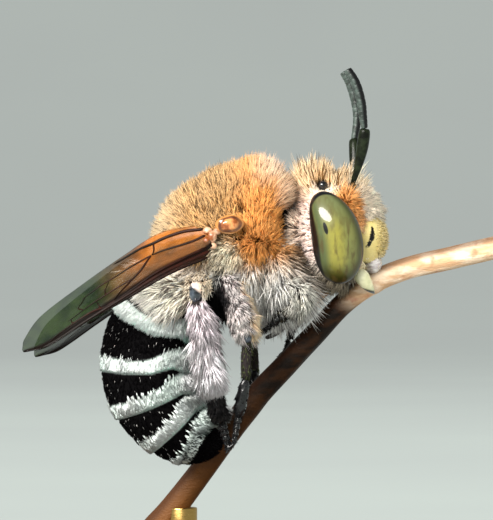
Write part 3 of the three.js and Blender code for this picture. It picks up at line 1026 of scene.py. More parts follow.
class BEE_OT_wings(bpy.types.Operator):
    """Make the four wings with their veins, and the scale over each wing's root"""

    bl_idname = "bee.wings"
    bl_label = "Wings"

    def execute(self, context):
        sizes = chosen_sizes()
        membrane_look, vein_look = membrane_finish(), vein_finish()
        for name, wing, veins in WINGS:
            for side, hand in HANDS.items():
                surface = wing_surface(wing, hand)
                sheet = membrane(surface, sizes.membrane / MM)
                add_piece(f"{name}_membrane_{side}", sheet, [membrane_look], "wing_membrane",
                          [f"{name}_{side}"])
                net = joined([vein(surface, *facts) for facts in veins.values()])
                add_piece(f"{name}_veins_{side}", net, [vein_look], "wing_membrane")
        for side, hand in HANDS.items():
            scale = Egg(handed(TEGULA["centre"], hand), TEGULA["size"], 8)
            add_piece(f"wing_scale_{side}", scale.mesh(56, 40, scale_relief), [scale_finish()], "wing_scale",
                      [f"tegula_{side}"])
            knobs = [Egg(handed(place, hand), size).mesh(20, 14) for place, size in WING_JOINTS]
            add_piece(f"wing_joints_{side}", joined(knobs), [joint_finish()], "wing_scale")
        return {"FINISHED"}


def scale_relief(v):
    """A dome inside a flat rim."""
    off = np.hypot(v[:, 0], v[:, 2])
    return 1 - 0.1 * np.exp(-((off - 0.72) / 0.09) ** 2) + 0.03 * ripples(8, v, 0.9)


def membrane_finish():
    finish = Finish("membrane", Roughness=0.24, IOR=1.4, Specular_IOR_Level=0.22)
    along, chord = finish.place(0), finish.place(1)
    cloud = finish.grain(1.3, (1, 1, 1), 0.4, 0.62)
    fine = finish.grain(16)
    amber = finish.blend(cloud.mask, "a05c1c", "6b3f18")
    dull = finish.blend(cloud.mask, "6a4426", "4a3320")
    # the outer half is dark olive: the membrane's smoky tone with a painted green cast of light shining
    # through it
    olive = finish.blend(cloud.mask, "26331a", "131f10")
    near_root = finish.blend(finish.range(chord, 0.35, 0.7), dull, amber)
    middle = finish.blend(finish.range(along, 0.22, 0.4), near_root, dull)
    colour = finish.blend(finish.range(along, 0.32, 0.58), middle, olive)
    colour = finish.blend(finish.range(chord, 0.3, 0.14), colour, "0f0805")
    finish.feed("Base Color", colour)
    # a membrane has two surfaces, and each hides this share of what is behind it
    fade = finish.range(along, 0.1, 0.9, 0.62, 0.52)
    thick = finish.range(chord, 0.3, 0.08, 0.0, 0.45)
    density = finish.maths("MINIMUM", finish.plus(fade, thick), 1.0)
    # the light that falls through a wing is hardly dimmed
    ray = node(finish.tree, "LightPath").outputs["Is Shadow Ray"]
    finish.feed("Alpha", finish.times(density, finish.range(ray, 0, 1, 1, 0.03)))
    finish.bump(fine.height, 0.1, 0.02)
    return finish.material


def vein_finish():
    finish = Finish("vein", Roughness=0.4, Specular_IOR_Level=0.15)
    cloud = finish.grain(5)
    near_root = finish.blend(cloud.mask, "2c0f07", "160905")
    colour = finish.blend(finish.range(finish.place(0), 0.2, 0.9), near_root, "0f0905")
    return finish.done(colour, cloud.height, 0.2, 0.02)


def scale_finish():
    finish = Finish("wing_scale", Roughness=0.18, Coat_Weight=0.7, Coat_Roughness=0.06)
    cloud = finish.grain(3.6, (1, 1, 1), 0.42, 0.6)
    colour = finish.blend(cloud.mask, "d08a52", "7c3f18")
    across, height = finish.place(0), finish.place(2)
    off = finish.plus(finish.times(across, across), finish.times(height, height))
    colour = finish.blend(finish.range(off, 0.42, 0.6, 0, 0.85), colour, "3f1d0b")
    colour = finish.blend(finish.range(off, 0.7, 0.85), colour, "b5793f")
    return finish.done(colour, cloud.height, 0.3, 0.03)


def joint_finish():
    return speckled("wing_joint", (3.4, (1, 1, 1), 0.42, 0.58), "d3ab8c", "84461f", 0.3, 0.03, Roughness=0.35,
                    Coat_Weight=0.25, Coat_Roughness=0.15)


# ---------------------------------------------------------------- the feet


BASITARSUS_SHARE = 0.56


def foot_forms(leg, side):
    """The long first joint of a foot, four short ones and two claws."""
    ankle, toe = LEGS[leg][side][2:]
    radius = LEG_RADII[leg][2]
    first = straight(ankle, toe)
    marks = [-0.03] + [BASITARSUS_SHARE + (0.96 - BASITARSUS_SHARE) * i / 4 for i in range(5)]
    forms = []
    for i, (start, end) in enumerate(zip(marks, marks[1:])):
        a, b = (np.array(ankle) + (np.array(toe) - np.array(ankle)) * share for share in (start, end + 0.02))
        size = radius * (1, 0.62, 0.56, 0.52, 0.5)[i]
        taper = (0.6, 1.0, 0.75) if i == 0 else (0.5, 0.85, 1.0)
        forms.append(Limb(straight(a, b), smooth(*(size * share for share in taper)), blunt=4))
    end, way, across, up = (row[0] for row in frames(first, np.array([0.95])))
    for sign in (-1, 1):
        root = end + across * sign * radius * 0.25
        knuckle = root + way * 0.16 + across * sign * 0.1
        point = knuckle + way * 0.06 - up * 0.14
        forms.append(Limb(bend(root, knuckle, point), smooth(0.055, 0.045, 0.02), blunt=3))
    return forms


KNEE = {"mid": 0.15, "hind": 0.2}


class BEE_OT_feet(bpy.types.Operator):
    """Make the six feet with their joints and claws, and the bare knees"""

    bl_idname = "bee.feet"
    bl_label = "Feet"

    def execute(self, context):
        look = foot_finish()

        def lumpy(t, x, y):
            return 1 + 0.1 * np.sin(9 * t + 3 * x) * np.sin(5 * y + 2) + 0.05 * np.sin(23 * t + 4 * y)

        for leg in LEGS:
            for side in HANDS:
                foot = joined([form.mesh(24, 24, lumpy) for form in foot_forms(leg, side)])
                add_piece(f"{leg}_foot_{side}", foot, [look], "foot", [f"{leg}_leg_{side}_tarsus"])
        hollow = lambda v: 1 - 0.12 * np.exp(-(v[:, 2] / 0.25) ** 2)
        knees = []
        for leg, size in KNEE.items():
            for side, hand in HANDS.items():
                centre = np.array(LEGS[leg][side][1]) + (0, 0.1 * hand, -0.04)
                knees.append(Egg(centre, (size, size * 0.9, size * 1.55)).mesh(28, 20, hollow))
        add_piece("knees", joined(knees), [knee_finish()], "foot")
        return {"FINISHED"}


def knee_finish():
    finish = Finish("knee", Roughness=0.1, Specular_IOR_Level=0.6, Coat_Weight=0.6, Coat_Roughness=0.05)
    cloud = finish.grain(5)
    colour = finish.blend(cloud.mask, "101216", "414953")
    pale = finish.plus(finish.place(2), finish.times(finish.place(0), 0.5))
    colour = finish.blend(finish.range(pale, 0.1, 0.55), colour, "ead3c6")
    return finish.done(colour, cloud.height, 0.2, 0.03)


def foot_finish():
    return speckled("foot", (6,), "070708", "141416", 0.7, 0.04, Roughness=0.24, Specular_IOR_Level=0.4,
                    Coat_Weight=0.25, Coat_Roughness=0.1)


# ---------------------------------------------------------------- the twig and the stand


class BEE_OT_perch(bpy.types.Operator):
    """Make the twig that the bee holds in its jaws"""

    bl_idname = "bee.perch"
    bl_label = "Twig"

    def execute(self, context):
        radius = smooth(*TWIG_RADII)

        def bark(t, x, y):
            place = np.stack([t * 18, x * 1.2, y * 1.2], axis=1)
            ridge = ripples(11, place * (0.25, 1, 1), 1.1)
            lump = ripples(12, place, 3.0)
            scar = np.exp(-((t - 0.3) / 0.02) ** 2) + 0.8 * np.exp(-((t - 0.72) / 0.015) ** 2)
            return 0.93 + 0.025 * ridge + 0.03 * lump + 0.06 * scar

        twig = Limb(through(TWIG_ROUTE), radius, blunt=40, even=True)
        bm = twig.mesh(40, 300, bark)
        add_piece("twig", bm, [bark_finish()], "bark", ["perch_twig"])
        return {"FINISHED"}


def bark_finish():
    c = colours()
    finish = Finish("bark", Roughness=0.6, Specular_IOR_Level=0.2)
    along, under = finish.place(0), finish.place(2)
    streak = finish.grain(2.2, (0.5, 1.6, 1.6), 0.42, 0.6)
    spots = finish.grain(3.2, (1, 1, 1), 0.58, 0.75)
    fine = finish.grain(14, (0.5, 1.5, 1.5))
    young = finish.blend(streak.mask, c.bark, "ecd2b6")
    young = finish.blend(finish.times(spots.mask, 0.6), young, "b0603f")
    # the lower stretch is dark brown: darker bark with painted shade over it
    old_and_shaded_bark = finish.blend(streak.mask, "140b05", "301b0a")
    old_and_shaded_bark = finish.blend(finish.range(along, 0.66, 0.92, 0, 0.8), old_and_shaded_bark, "6e4520")
    colour = finish.blend(finish.range(along, 0.33, 0.42), young, old_and_shaded_bark)
    shade_side = finish.range(under, -0.2, -0.8)
    colour = finish.blend(finish.times(shade_side, 0.75), colour, "3a2010")
    wood = finish.grain(5, (2, 1, 1))
    cut = finish.maths("MAXIMUM", finish.range(along, 0.004, 0.002), finish.range(along, 0.996, 0.998))
    colour = finish.blend(cut, colour, finish.blend(wood.mask, "d9b98c", "b98f5c"))
    return finish.done(colour, fine.height, 0.6, 0.05)


class BEE_OT_stand(bpy.types.Operator):
    """Make the display stand: a turned base and a rod up to the twig"""

    bl_idname = "bee.stand"
    bl_label = "Stand"

    def execute(self, context):
        thick, radius, bevel = STAND["thick"], STAND["radius"], STAND["bevel"]
        bm = bmesh.new()
        bmesh.ops.create_cone(bm, cap_ends=True, segments=144, radius1=radius, radius2=radius, depth=thick,
                              matrix=Matrix.Translation((0, 0, thick / 2)))
        rim = [e for e in bm.edges if all(v.co.z > thick - 1e-4 for v in e.verts) and len(e.link_faces) == 2]
        bmesh.ops.bevel(bm, geom=rim, offset=bevel, segments=5, profile=0.5, affect="EDGES", material=-1)
        top = max(bm.faces, key=lambda face: face.calc_center_median().z)
        for depth, inset in STAND_RINGS:
            bmesh.ops.inset_region(bm, faces=[top], thickness=inset, depth=depth)
        base = add_piece("base", bm, [wood_finish()], "stand_wood", ["stand_base"])
        base.data.set_sharp_from_angle(angle=math.radians(SHARP_SHADING))
        x, y = STAND["rod"]
        height = STAND["rod_top"] - thick
        rod = bmesh.new()
        for share, tall in ((1.0, height), (STAND["collar_share"], STAND["collar_height"])):
            r = STAND["rod_radius"] * share
            part = bmesh.ops.create_cone(rod, cap_ends=True, segments=64, radius1=r, radius2=r, depth=tall,
                                         matrix=Matrix.Translation((x, y, thick + tall / 2)))
            edges = {e for v in part["verts"] for e in v.link_edges if len(e.link_faces) == 2
                     and e.calc_face_angle(0) > SHARP_EDGE}
            bmesh.ops.bevel(rod, geom=list(edges), offset=STAND["rod_bevel"], segments=3, profile=0.5,
                            affect="EDGES", material=-1)
        rod_piece = add_piece("rod", rod, [brass_finish()], "stand_brass", ["stand_rod"])
        rod_piece.data.set_sharp_from_angle(angle=math.radians(SHARP_SHADING))
        return {"FINISHED"}


def wood_finish():
    c = colours()
    finish = Finish("stand_wood", Roughness=0.35, Coat_Weight=0.5, Coat_Roughness=0.15)
    figure = finish.grain(0.9, (0.25, 2.6, 1.5), 0.35, 0.65)
    pores = finish.grain(7, (0.15, 3, 2), 0.52, 0.6)
    colour = finish.blend(figure.mask, c.wood, c.wood * 2.2)
    colour = finish.blend(finish.times(pores.mask, 0.6), colour, c.wood * 0.35)
    return finish.done(colour, pores.height, 0.3, 0.03)


def brass_finish():
    c = colours()
    finish = Finish("stand_brass", Metallic=1.0, Roughness=0.28)
    brushed = finish.grain(3, (1, 1, 14), 0.3, 0.7)
    finish.feed("Base Color", finish.blend(brushed.mask, c.brass, c.brass * 0.82))
    finish.feed("Roughness", finish.range(brushed.height, 0.3, 0.7, 0.2, 0.36))
    finish.bump(brushed.height, 0.1, 0.01)
    return finish.material


# ---------------------------------------------------------------- the lie of the coat

# A lie tells how hair stands on a surface, for points p with normals n: its flow and lift, its length,
# colours, thickness and so on. The numbers that x, y and z are held against are places in millimetres.


def thorax_lie(p, n):
    """Hair that fans out from in front of the wing roots: up over the back and down over the breast."""
    c = colours()
    x, y, z = p.T
    top = ease(0.1, 0.8, n[:, 2])
    rear, front = ease(-1.3, -2.1, x), ease(0.0, 0.7, x)
    beard = ease(10.75, 10.15, z)
    flank = ease(0.5, 0.85, np.abs(n[:, 1]))
    ahead = np.where(x > 0.9, 1.1 * (x - 0.9), 0.22 * (x - 0.9))
    away = np.stack([ahead - 0.3 * rear, 0.15 * y, 1.3 * (z - 11.05)], axis=1)
    distance = np.linalg.norm(away, axis=1)
    flow = away / (distance + 0.12)[:, None]
    flow = mix(flow, np.array((-0.85, 0.0, -0.5)), ease(10.6, 10.2, z) * ease(-0.9, -1.3, x))
    lift = 0.4 + 0.14 * top - 0.16 * beard - 0.04 * flank + 0.35 * ease(0.5, 0.05, distance)
    lift = lift - 0.12 * ease(10.6, 10.2, z) * ease(-1.0, -1.3, x)
    # painted shade: the hollow behind the middle legs, where hair is sparser, and the cleft behind the head
    # get black hair over black skin
    hollow = ease(10.3, 9.95, z) * ease(0.15, -0.3, x) * ease(-1.25, -1.0, x)
    tail = ease(10.6, 10.2, z) * ease(-1.0, -1.3, x)
    shaded_cleft = ease(1.1, 1.35, x) * ease(11.1, 11.4, z) * ease(12.3, 12.0, z)
    length = 0.59 + 0.13 * beard + 0.2 * front * ease(11.6, 12.4, z) - 0.04 * rear
    length = length - 0.06 * flank * (1 - beard)
    length = length + 0.42 * beard * ease(-0.3, 0.3, x) - 0.2 * beard * ease(0.3, -0.3, x)
    trim = ease(0.75, 1.25, x) * ease(10.9, 11.3, z) * ease(12.2, 11.9, z)
    length = length * (1 - 0.6 * trim) + 0.35 * tail + 0.3 * hollow
    flow = mix(flow, np.array((0.05, 0.0, -1.0)), hollow)
    # the hair at the front leans over towards the head, and the topmost of it is the longest
    bridge = ease(0.7, 1.0, x) * ease(11.8, 12.1, z) * ease(12.75, 12.45, z)
    flow = mix(flow, np.array((1.0, 0.0, 0.4)), 0.8 * bridge)
    length = length + 0.06 * bridge + 0.3 * ease(0.85, 1.1, x) * ease(12.1, 12.4, z) * (1 - bridge)
    orange_share = ease(-0.5, 0.35, x) * ease(10.3, 10.8, z)
    pale = ease(12.15, 12.7, z) * ease(0.2, 0.8, x)
    blush = "ffe2c8"
    # the rear's cream-gold hair is darkened to 0.62 of its colour: painted shade
    root = mix(c.gold, mix(c.cream, c.gold, 0.45 + 0 * x) * 0.62, rear * ease(10.4, 10.9, z))
    root = mix(root, c.orange, orange_share)
    root = mix(root, blush, 0.55 * np.maximum(pale, bridge))
    root = mix(root, c.grey, beard * (1 - tail))
    root = mix(root, "ffe6c6", tail)
    tip = mix(root, c.cream, 0.12 + 0.13 * top * (1 - rear))
    tip = mix(tip, blush, 0.6 * np.maximum(pale, bridge))
    tip = mix(tip, c.grey, beard)
    # painted shade under the head: the hair at the throat is darker grey-brown, with more dark hairs
    throat = ease(1.1, 1.5, x) * ease(9.7, 10.1, z) * ease(11.0, 10.7, z)
    root = mix(root, "a58c74", 0.7 * throat)
    tip = mix(tip, "cdb8a2", 0.7 * throat)
    # a pale tuft under the wing's scale and a dark line over it
    tuft = ease(0.5, 0.2, np.hypot((x + 0.42) / 1.4, z - 10.7))
    root = mix(root, "fce6c0", 0.9 * tuft)
    tip = mix(tip, "fff4dc", 0.9 * tuft)
    scale_gap = np.hypot((x - TEGULA["centre"][0]) / 1.4, z - TEGULA["centre"][2])
    line = ease(0.26, 0.3, scale_gap) * ease(0.46, 0.4, scale_gap) * ease(11.6, 11.7, z) * flank
    length = length * (1 - 0.6 * line)
    # painted shade in the hollow and the cleft, and a dark line over the wing's scale: the hair there turns
    # black
    black = np.maximum(np.maximum(hollow, shaded_cleft), 0.6 * line)
    dark = 0.3 * (1 - beard) * (1 - 0.72 * orange_share) * (1 - 0.6 * rear) + 0.06 + 0.1 * beard
    dark = np.maximum(np.maximum(dark + 0.04 * tuft + 0.25 * throat, black), 0.8 * line)
    return Values(flow=flow, lift=lift, length=length, root=mix(root, c.black * 2, black),
               tip=mix(tip, c.black * 3, black).clip(0, 1), dark=dark, weight=1 - 0.3 * hollow - 0.15 * beard,
               thick=1 + 0.5 * beard, stray=0.16, lock=0.15, vary=1,
               shaded=0.2 - 0.06 * beard + 0.5 * tail + 0.1 * orange_share + 0.25 * tuft,
               bare=(0.06 + 0.1 * (1 - beard)) * (1 - black))


def head_lie(p, n):
    """A crest on top, a ruff behind the eyes, and short hair on the face."""
    c = colours()
    x, y, z = p.T
    side = np.abs(y)
    zero = 0 * x
    crown = ease(12.15, 12.5, z) * ease(3.75, 3.3, x)
    front = ease(2.95, 3.35, x)
    cheek = (1 - crown) * (1 - front)
    under = ease(10.7, 10.2, z) * ease(3.5, 3.2, x)
    brow = front * ease(11.3, 11.6, z) * (1 - crown)
    face = front * ease(11.6, 11.3, z)
    rim = crown * ease(0.68, 0.8, side) * ease(1.9, 2.1, x) * ease(3.1, 2.85, x)
    window = crown * ease(0.3, 0.2, np.abs(x - OCELLUS[0])) * ease(0.5, 0.58, side)
    rim = np.maximum(rim, window)
    # painted shade: the cleft behind the head gets black hair over black skin
    shaded_cleft = ease(1.75, 1.5, x) * ease(11.2, 11.5, z) * ease(12.3, 12.05, z)
    ways = (
        (crown, 0.45 * (x - 2.5) - 0.5 * ease(2.2, 1.8, x), 0.12 * y, 1.0),
        (cheek * (1 - under), -1, 0.3 * np.sign(y), 0.4 * (z - 11.3)),
        (under, -0.5, 0, -1),
        (brow, 0.8, 0.1 * y, -0.5 + 0.8 * ease(12.1, 12.5, z)),
        (face * (1 - under), 0.4, 0.1 * y, -0.8),
    )
    flow = unit(sum(np.stack([zero + part for part in way], axis=1) * share[:, None] for share, *way in ways))
    near_eye = ease(1.7, 2.05, x) * cheek * (1 - under)
    length = 0.98 * crown + (0.52 - 0.26 * near_eye) * cheek + (0.3 + 0.16 * ease(3.6, 3.9, x)) * brow
    length = length + 0.16 * face
    length = mix(length[:, None], np.full((len(x), 1), 0.56), under)[:, 0]
    length = length * (1 - 0.42 * ease(2.2, 2.75, x) * ease(3.15, 2.8, x) * crown)
    length = length + 0.22 * ease(2.2, 1.9, x) * ease(11.9, 12.1, z) * ease(12.6, 12.4, z)
    length = mix(length[:, None], np.full((len(x), 1), 0.13), rim)[:, 0]
    # the hair makes way for the feelers' roots
    socket = np.linalg.norm(np.stack([x, side, z], axis=1) - (3.34, 0.55, 12.7), axis=1)
    length = length * (1 - 0.65 * ease(0.55, 0.25, socket))
    # the orange patch runs down beside the eye, from the feeler's socket to the face plate
    border = x - 3.3 - 0.45 * (12.5 - z).clip(0, 0.7)
    patch = ease(2.85, 3.1, x) * ease(11.3, 11.6, z) * ease(12.6, 12.35, z) * ease(0.08, -0.08, border)
    patch = patch * ease(0.35, 0.6, side)
    root = mix(c.grey, "f4dac6", ease(10.7, 11.3, z))
    root = mix(root, c.gold, ease(11.7, 12.3, z))
    root = mix(root, c.orange, crown * 0.2)
    root = mix(root, "ffecd8", crown * ease(2.95, 3.25, x))
    root = mix(root, "fff0dc", brow * (1 - patch))
    root = mix(root, c.orange, 0.85 * patch)
    root = mix(root, c.face, face * (1 - under) * 0.6)
    root = mix(root, "fff6f2", rim)
    root = mix(root, "ffe0dc", near_eye * 0.7 * ease(3.0, 2.7, x))
    # painted shade under the head: the hair there is dark grey-brown, with more dark hairs
    root = mix(root, "6e604c", under * 0.9)
    root = mix(root, c.black * 2, shaded_cleft)
    tip = mix(root, c.cream, (0.25 + 0.45 * crown) * (1 - patch * 0.6) * (1 - shaded_cleft))
    dark = 0.06 + 0.22 * crown * ease(3.3, 3.0, x) + 0.18 * cheek * (1 - under) * (1 - 0.5 * near_eye)
    dark = dark + 0.1 * under + 0.04 * patch + 0.08 * brow * (1 - patch)
    dark = dark - 0.32 * rim + shaded_cleft
    eyelet = np.linalg.norm(np.stack([x, side, z], axis=1) - OCELLUS, axis=1)
    middle_eyelet = np.linalg.norm(p - MIDDLE_OCELLUS, axis=1)
    bald = ease(0.22, 0.14, np.minimum(eyelet, middle_eyelet))
    weight = (1 - 0.8 * face) * (1 - bald) * (1 - 0.35 * crown) * (1 - 0.35 * near_eye) * (1 + 0.9 * rim)
    weight = weight * (1 - 0.35 * crown * ease(2.75, 2.95, x)) * (1 + 1.0 * brow)
    bare = 0.1 + 0.45 * near_eye + 0.85 * face * (1 - under) + 0.8 * brow * (1 - patch) + 0.3 * patch
    bare = bare + 0.4 * rim * (1 - bald)
    shaded = 0.18 + 0.3 * rim + 0.6 * brow + 0.3 * near_eye + 0.3 * patch
    lift = 0.42 + 0.2 * crown - 0.1 * face - 0.08 * near_eye - 0.1 * brow
    return Values(flow=flow, lift=lift, length=length, root=root, tip=tip.clip(0, 1), dark=dark.clip(0, 1),
                  weight=weight, thick=0.95 + 0.3 * crown - 0.2 * front, stray=0.15, lock=0.15, vary=1,
                  shaded=shaded.clip(0, 0.85), bare=bare.clip(0, 1) * (1 - shaded_cleft))


def abdomen_lie(p, n):
    """Flat pale bands, a fan of long hair over the first rings, and a fringe along the belly."""
    c = colours()
    angle, reach = curl_place(p)
    turn = np.radians(angle)
    flow = np.stack([-np.sin(turn), 0.1 * p[:, 1], np.cos(turn)], axis=1)
    band, back, ahead = band_share(p)
    fan = ease(146, 130, angle) * ease(3.86, 3.5, reach) * ease(1.9, 2.4, reach)
    fringe = ease(1.75, 1.3, reach) * ease(140, 155, angle) * band
    tuft = ease(236, 243, angle) * ease(252, 246, angle) * ease(2.5, 1.9, reach)
    last = ease(238, 244, angle)
    # each hair is either pale or black, and a band's front edge runs out in teeth along the hairs
    _, chance = lock_of(p, 0.04)
    _, column = lock_of(np.stack([reach, p[:, 1], 0 * reach], axis=1), 0.038)
    tooth = 0.34 * column[:, 0] ** 2 - 0.1
    band = (back > -0.01) * (ahead < tooth) * (1 - last * (1 - tuft))
    pale = np.maximum(band, tuft)
    edge_row = pale * ease(-0.28, -0.1, ahead)
    weight = 0.24 + 0.35 * ease(187, 180, angle) + 1.0 * pale + 1.2 * fan + 0.4 * fringe + 0.6 * tuft
    weight = weight + 1.4 * edge_row
    overlap = ease(0.14, 0.0, ahead - tooth) * (1 - pale)
    # painted glints: a few short pale grey hairs among the black ones
    glint = (chance[:, 2] < 0.045) & (pale < 0.1) & (angle < 240)
    first = ease(159, 153, angle) * ease(3.9, 3.5, reach)
    flat = np.minimum(0.3 + 0.12 * first, 0.03 + 0.12 * first + back.clip(0, 9))
    length = 0.15 * (1 - pale) + flat * pale
    length = length + 1.05 * fan + 0.22 * fringe + 0.34 * tuft
    tide = 0.5 + 0.5 * ripples(5, p, 1.8)
    mint = mix(c.band, "a9ecd6", ease(0.28, 0.04, back) * 0.9)
    mint = mix(mint, "f3e9ee", (0.35 * tide + 0.4 * fringe).clip(0, 1))
    root = mix(c.black, mint, pale)
    root = mix(root, mix("ffeedb", "fffaf2", ease(122, 140, angle)), fan)
    root = np.where(glint[:, None], c.grey * 0.45, root)
    dark = (0.05 + 0.4 * ease(0.2, 0.8, ripples(9, p, 0.8))) * fan + 0.1 * fringe + 0.15 * tuft
    lift = 0.04 + 0.04 * overlap + 0.38 * (1 - pale) * (1 - fan) * (1 - overlap) + 0.08 * first * pale
    lift = lift + 0.12 * fan + 0.2 * fringe + 0.25 * tuft
    vary = np.maximum(np.maximum(0.7 * fan, tuft), np.maximum(0.5 * fringe, 0.4 * first * pale))
    return Values(flow=flow, lift=lift, length=length, root=root, tip=(root * 1.1).clip(0, 1), dark=dark,
               weight=weight, thick=0.95 + 0.75 * fan + 0.2 * tuft - 0.4 * glint, stray=0.06 + 0.09 * fan,
               lock=0.12, vary=0.12 + 0.88 * vary, shaded=0.75 - 0.2 * tuft + 0.15 * fan)


def leg_lie(p, n, name, limb):
    """Hair that runs down the leg: a long brush on the hind shin, short and dark on the others."""
    c = colours()
    leg, _, part = name.split("_")
    share, _, _ = limb.near(p)
    _, way, _, _ = frames(limb.line, share)
    span = np.linalg.norm(limb.line(np.array([1.0])) - limb.line(np.array([0.0])))
    down = ease(0.1, 0.95, share)
    base = coloured(p, c.rose)
    white = "fffafd"
    zero = 0 * share
    thick, shaded, vary = 1.1 + zero, 0.12 + zero, 1 + zero
    if (leg, part) == ("hind", "tibia"):
        pink = coloured(p, "f2d6de")
        root, tip = mix(pink, white, 0.3 + 0.7 * down), mix(pink, white, 0.7 + 0.3 * down)
        shaded, vary = 0.35 + 0.6 * down, 1 - 0.55 * down
        length = np.minimum(0.62 + 0.22 * ease(0, 0.5, share), 0.2 + (1.0 - share) * span)
        lift, dark = 0.24 - 0.17 * down, 0.2 - 0.2 * down
        weight, thick = 1.2 * ease(-0.02, 0.06, share) * (1 + 1.1 * down), 1.35 + 0.4 * down
    elif (leg, part) == ("mid", "femur"):
        rim = ease(0.45, 0.85, n[:, 0])
        root, tip = mix(base, c.orange, 0.55 * rim), mix(mix(base, c.grey, 0.7 + zero), c.cream, rim)
        # painted shade: the back of the femur, towards the hind leg, gets shorter black hair
        behind = ease(-0.1, -0.6, n[:, 0]) * ease(0.7, 0.4, share)
        root, tip = mix(root * 0.85, c.black * 2, behind), mix(tip * 0.88, c.black * 3, behind)
        length, lift, weight = 0.5 - 0.3 * behind, 0.34 + zero, 1.0 + zero
        dark = np.maximum(0.32 * (1 - rim), behind)
        thick = 1.3 + zero
    elif leg == "fore":
        low = ease(0.35, 0.7, share) * (part == "tibia")
        root, tip = coloured(p, "cfcabb"), coloured(p, "efece2")
        root, tip = mix(root, c.black * 3, low), mix(tip, "55503c", low)
        length, lift, dark, weight = 0.5 - 0.3 * low, 0.24 + zero, 0.16 + 0.5 * low, 0.9 + zero
        way = unit(mix(way, np.array((-0.1, 0.0, -1.0)), 0.75 * (1 - low)))
    elif part == "femur":
        root, tip = coloured(p, "e0c6a4"), coloured(p, "fff0da")
        length, lift, dark, weight = 0.42 + zero, 0.32 + zero, 0.16 + zero, 0.7 + zero
    elif (leg, part) == ("mid", "tibia"):
        root, tip = coloured(p, "2e361c"), coloured(p, "6e7450")
        length, lift, dark, weight = 0.2 + zero, 0.12 + zero, 0.4 + zero, 0.25 + zero
        thick = 0.6 + zero
    else:
        root, tip = base * 0.4, base * 0.8
        length, lift, dark, weight = 0.26 + zero, 0.26 + zero, 0.4 + zero, 0.6 + zero
    return Values(flow=way, lift=lift, length=length, root=root, tip=tip.clip(0, 1), dark=dark, weight=weight,
               thick=thick, stray=0.13, lock=0.16, vary=vary, shaded=shaded)


def plate_lie(p, n):
    """A sparse pale down on the face plate and the lip."""
    c = colours()
    ahead = ease(4.0, 4.2, p[:, 0])
    lip = ease(10.7, 10.5, p[:, 2])
    flow = np.stack([0.7 + 0 * ahead, 0 * ahead, -0.25 - 0.7 * lip], axis=1)
    root = coloured(p, c.cream)
    top = ease(11.7, 11.9, p[:, 2])
    root = mix(root, c.face * 1.15, (1 - lip) * (1 - 0.5 * top))
    root = mix(root, c.grey, lip)
    return Values(flow=flow, lift=0.2 + 0.14 * ahead, length=0.1 + 0.07 * ahead * (1 - lip) + 0.14 * top,
               root=root, tip=mix(root, c.cream, 0.5 + 0 * ahead), dark=0.12 * (1 - lip) * ahead,
               weight=0.04 + 1.0 * ahead + 0.15 * lip + 1.2 * top, thick=0.75 + 0 * ahead, stray=0.1,
               lock=0.1, vary=0.6, shaded=0.6 + 0.2 * lip)


def foot_lie(p, n):
    """Short black bristles that point down the foot."""
    c = colours()
    flow = np.tile((-0.1, 0.0, -1.0), (len(p), 1))
    root = coloured(p, c.black * 2)
    tip = coloured(p, "3a3836")
    zero = 0 * p[:, 0]
    brush = ease(-0.05, -0.25, p[:, 0]) * ease(5.6, 6.0, p[:, 2])
    return Values(flow=flow, lift=0.3 + zero, length=0.11 + 0.14 * brush, root=root, tip=tip, dark=0.7 + zero,
               weight=0.5 + brush, thick=0.75 + zero, stray=0.2, lock=0.12, vary=1, shaded=0.5)


# ---------------------------------------------------------------- the coat


# The pieces of the body's coat: region, part, number of hairs, and the two heights between which they grow,
# or on the abdomen the two angles round its curl.
EVERYWHERE = 1000
BODY_COAT = (
    ("thorax", "back", 33000, 11.7, EVERYWHERE),
    ("thorax", "flanks", 29000, 10.5, 11.7),
    ("thorax", "beard", 17000, -EVERYWHERE, 10.5),
    ("head", "crown", 20000, 11.9, EVERYWHERE),
    ("head", "cheeks", 20000, -EVERYWHERE, 11.9),
    ("abdomen", "front", 33000, -EVERYWHERE, 187),
    ("abdomen", "rear", 33000, 187, EVERYWHERE),
)
LEG_HAIRS = {"fore": 5000, "mid": 15000, "hind": 21000}
FACE_HAIRS = 2200
FEET_HAIRS = 7000

HAIR_SIDES = 3
PATCH = 0.003  # the width of a hair's place on the unwrap
SINK = 0.035  # how deep a hair's root sits in the skin
# Plain numbers that turn a lock's place into numbers without a pattern.
LOCK_MIX = ((12.99, 39.35, 73.16), (78.23, 11.14, 52.24), (37.72, 83.16, 9.15))
LOCK_SPREAD = 43758.55
LOWER_PART = 0.45  # the share of a hair's length up to its middle point
HAIR_GAP = 0.03  # how far before another piece a hair ends
SHORTEST = 0.28  # a hair that is cut to less than this share of its length is dropped
LOCK_PULL = 0.7  # how far the tips of a lock draw together
CORNERS = np.arange(HAIR_SIDES)
NEXT = (CORNERS + 1) % HAIR_SIDES
TIP = HAIR_SIDES + 1
# A hair has a point at its root, a ring at its middle and a point at its tip.
HAIR_FACES = np.concatenate([
    np.stack([NEXT + 1, CORNERS + 1, 0 * CORNERS], axis=1),
    np.stack([CORNERS + 1, NEXT + 1, 0 * CORNERS + TIP], axis=1),
])


def lock_of(points, size):
    """The middle of the lock that a hair belongs to, and three numbers from 0 to 1 that its hairs share."""
    cell = np.floor(points / size)
    mixed = np.sin(cell @ np.array(LOCK_MIX)) * LOCK_SPREAD
    chance = mixed % 1
    return (cell + 0.5 + (chance - 0.5) * 0.7) * size, chance


def hair_patch():
    """Where each corner of a hair's faces lies on its patch of the unwrap."""
    low, high = CORNERS / HAIR_SIDES, (CORNERS + 1) / HAIR_SIDES
    middle, zero = (low + high) / 2, 0 * low
    corners = [
        np.stack([high, zero + 0.5, low, zero + 0.5, middle, zero], axis=1),
        np.stack([low, zero + 0.5, high, zero + 0.5, middle, zero + 1], axis=1),
    ]
    return np.concatenate(corners).reshape(-1, 2) * PATCH


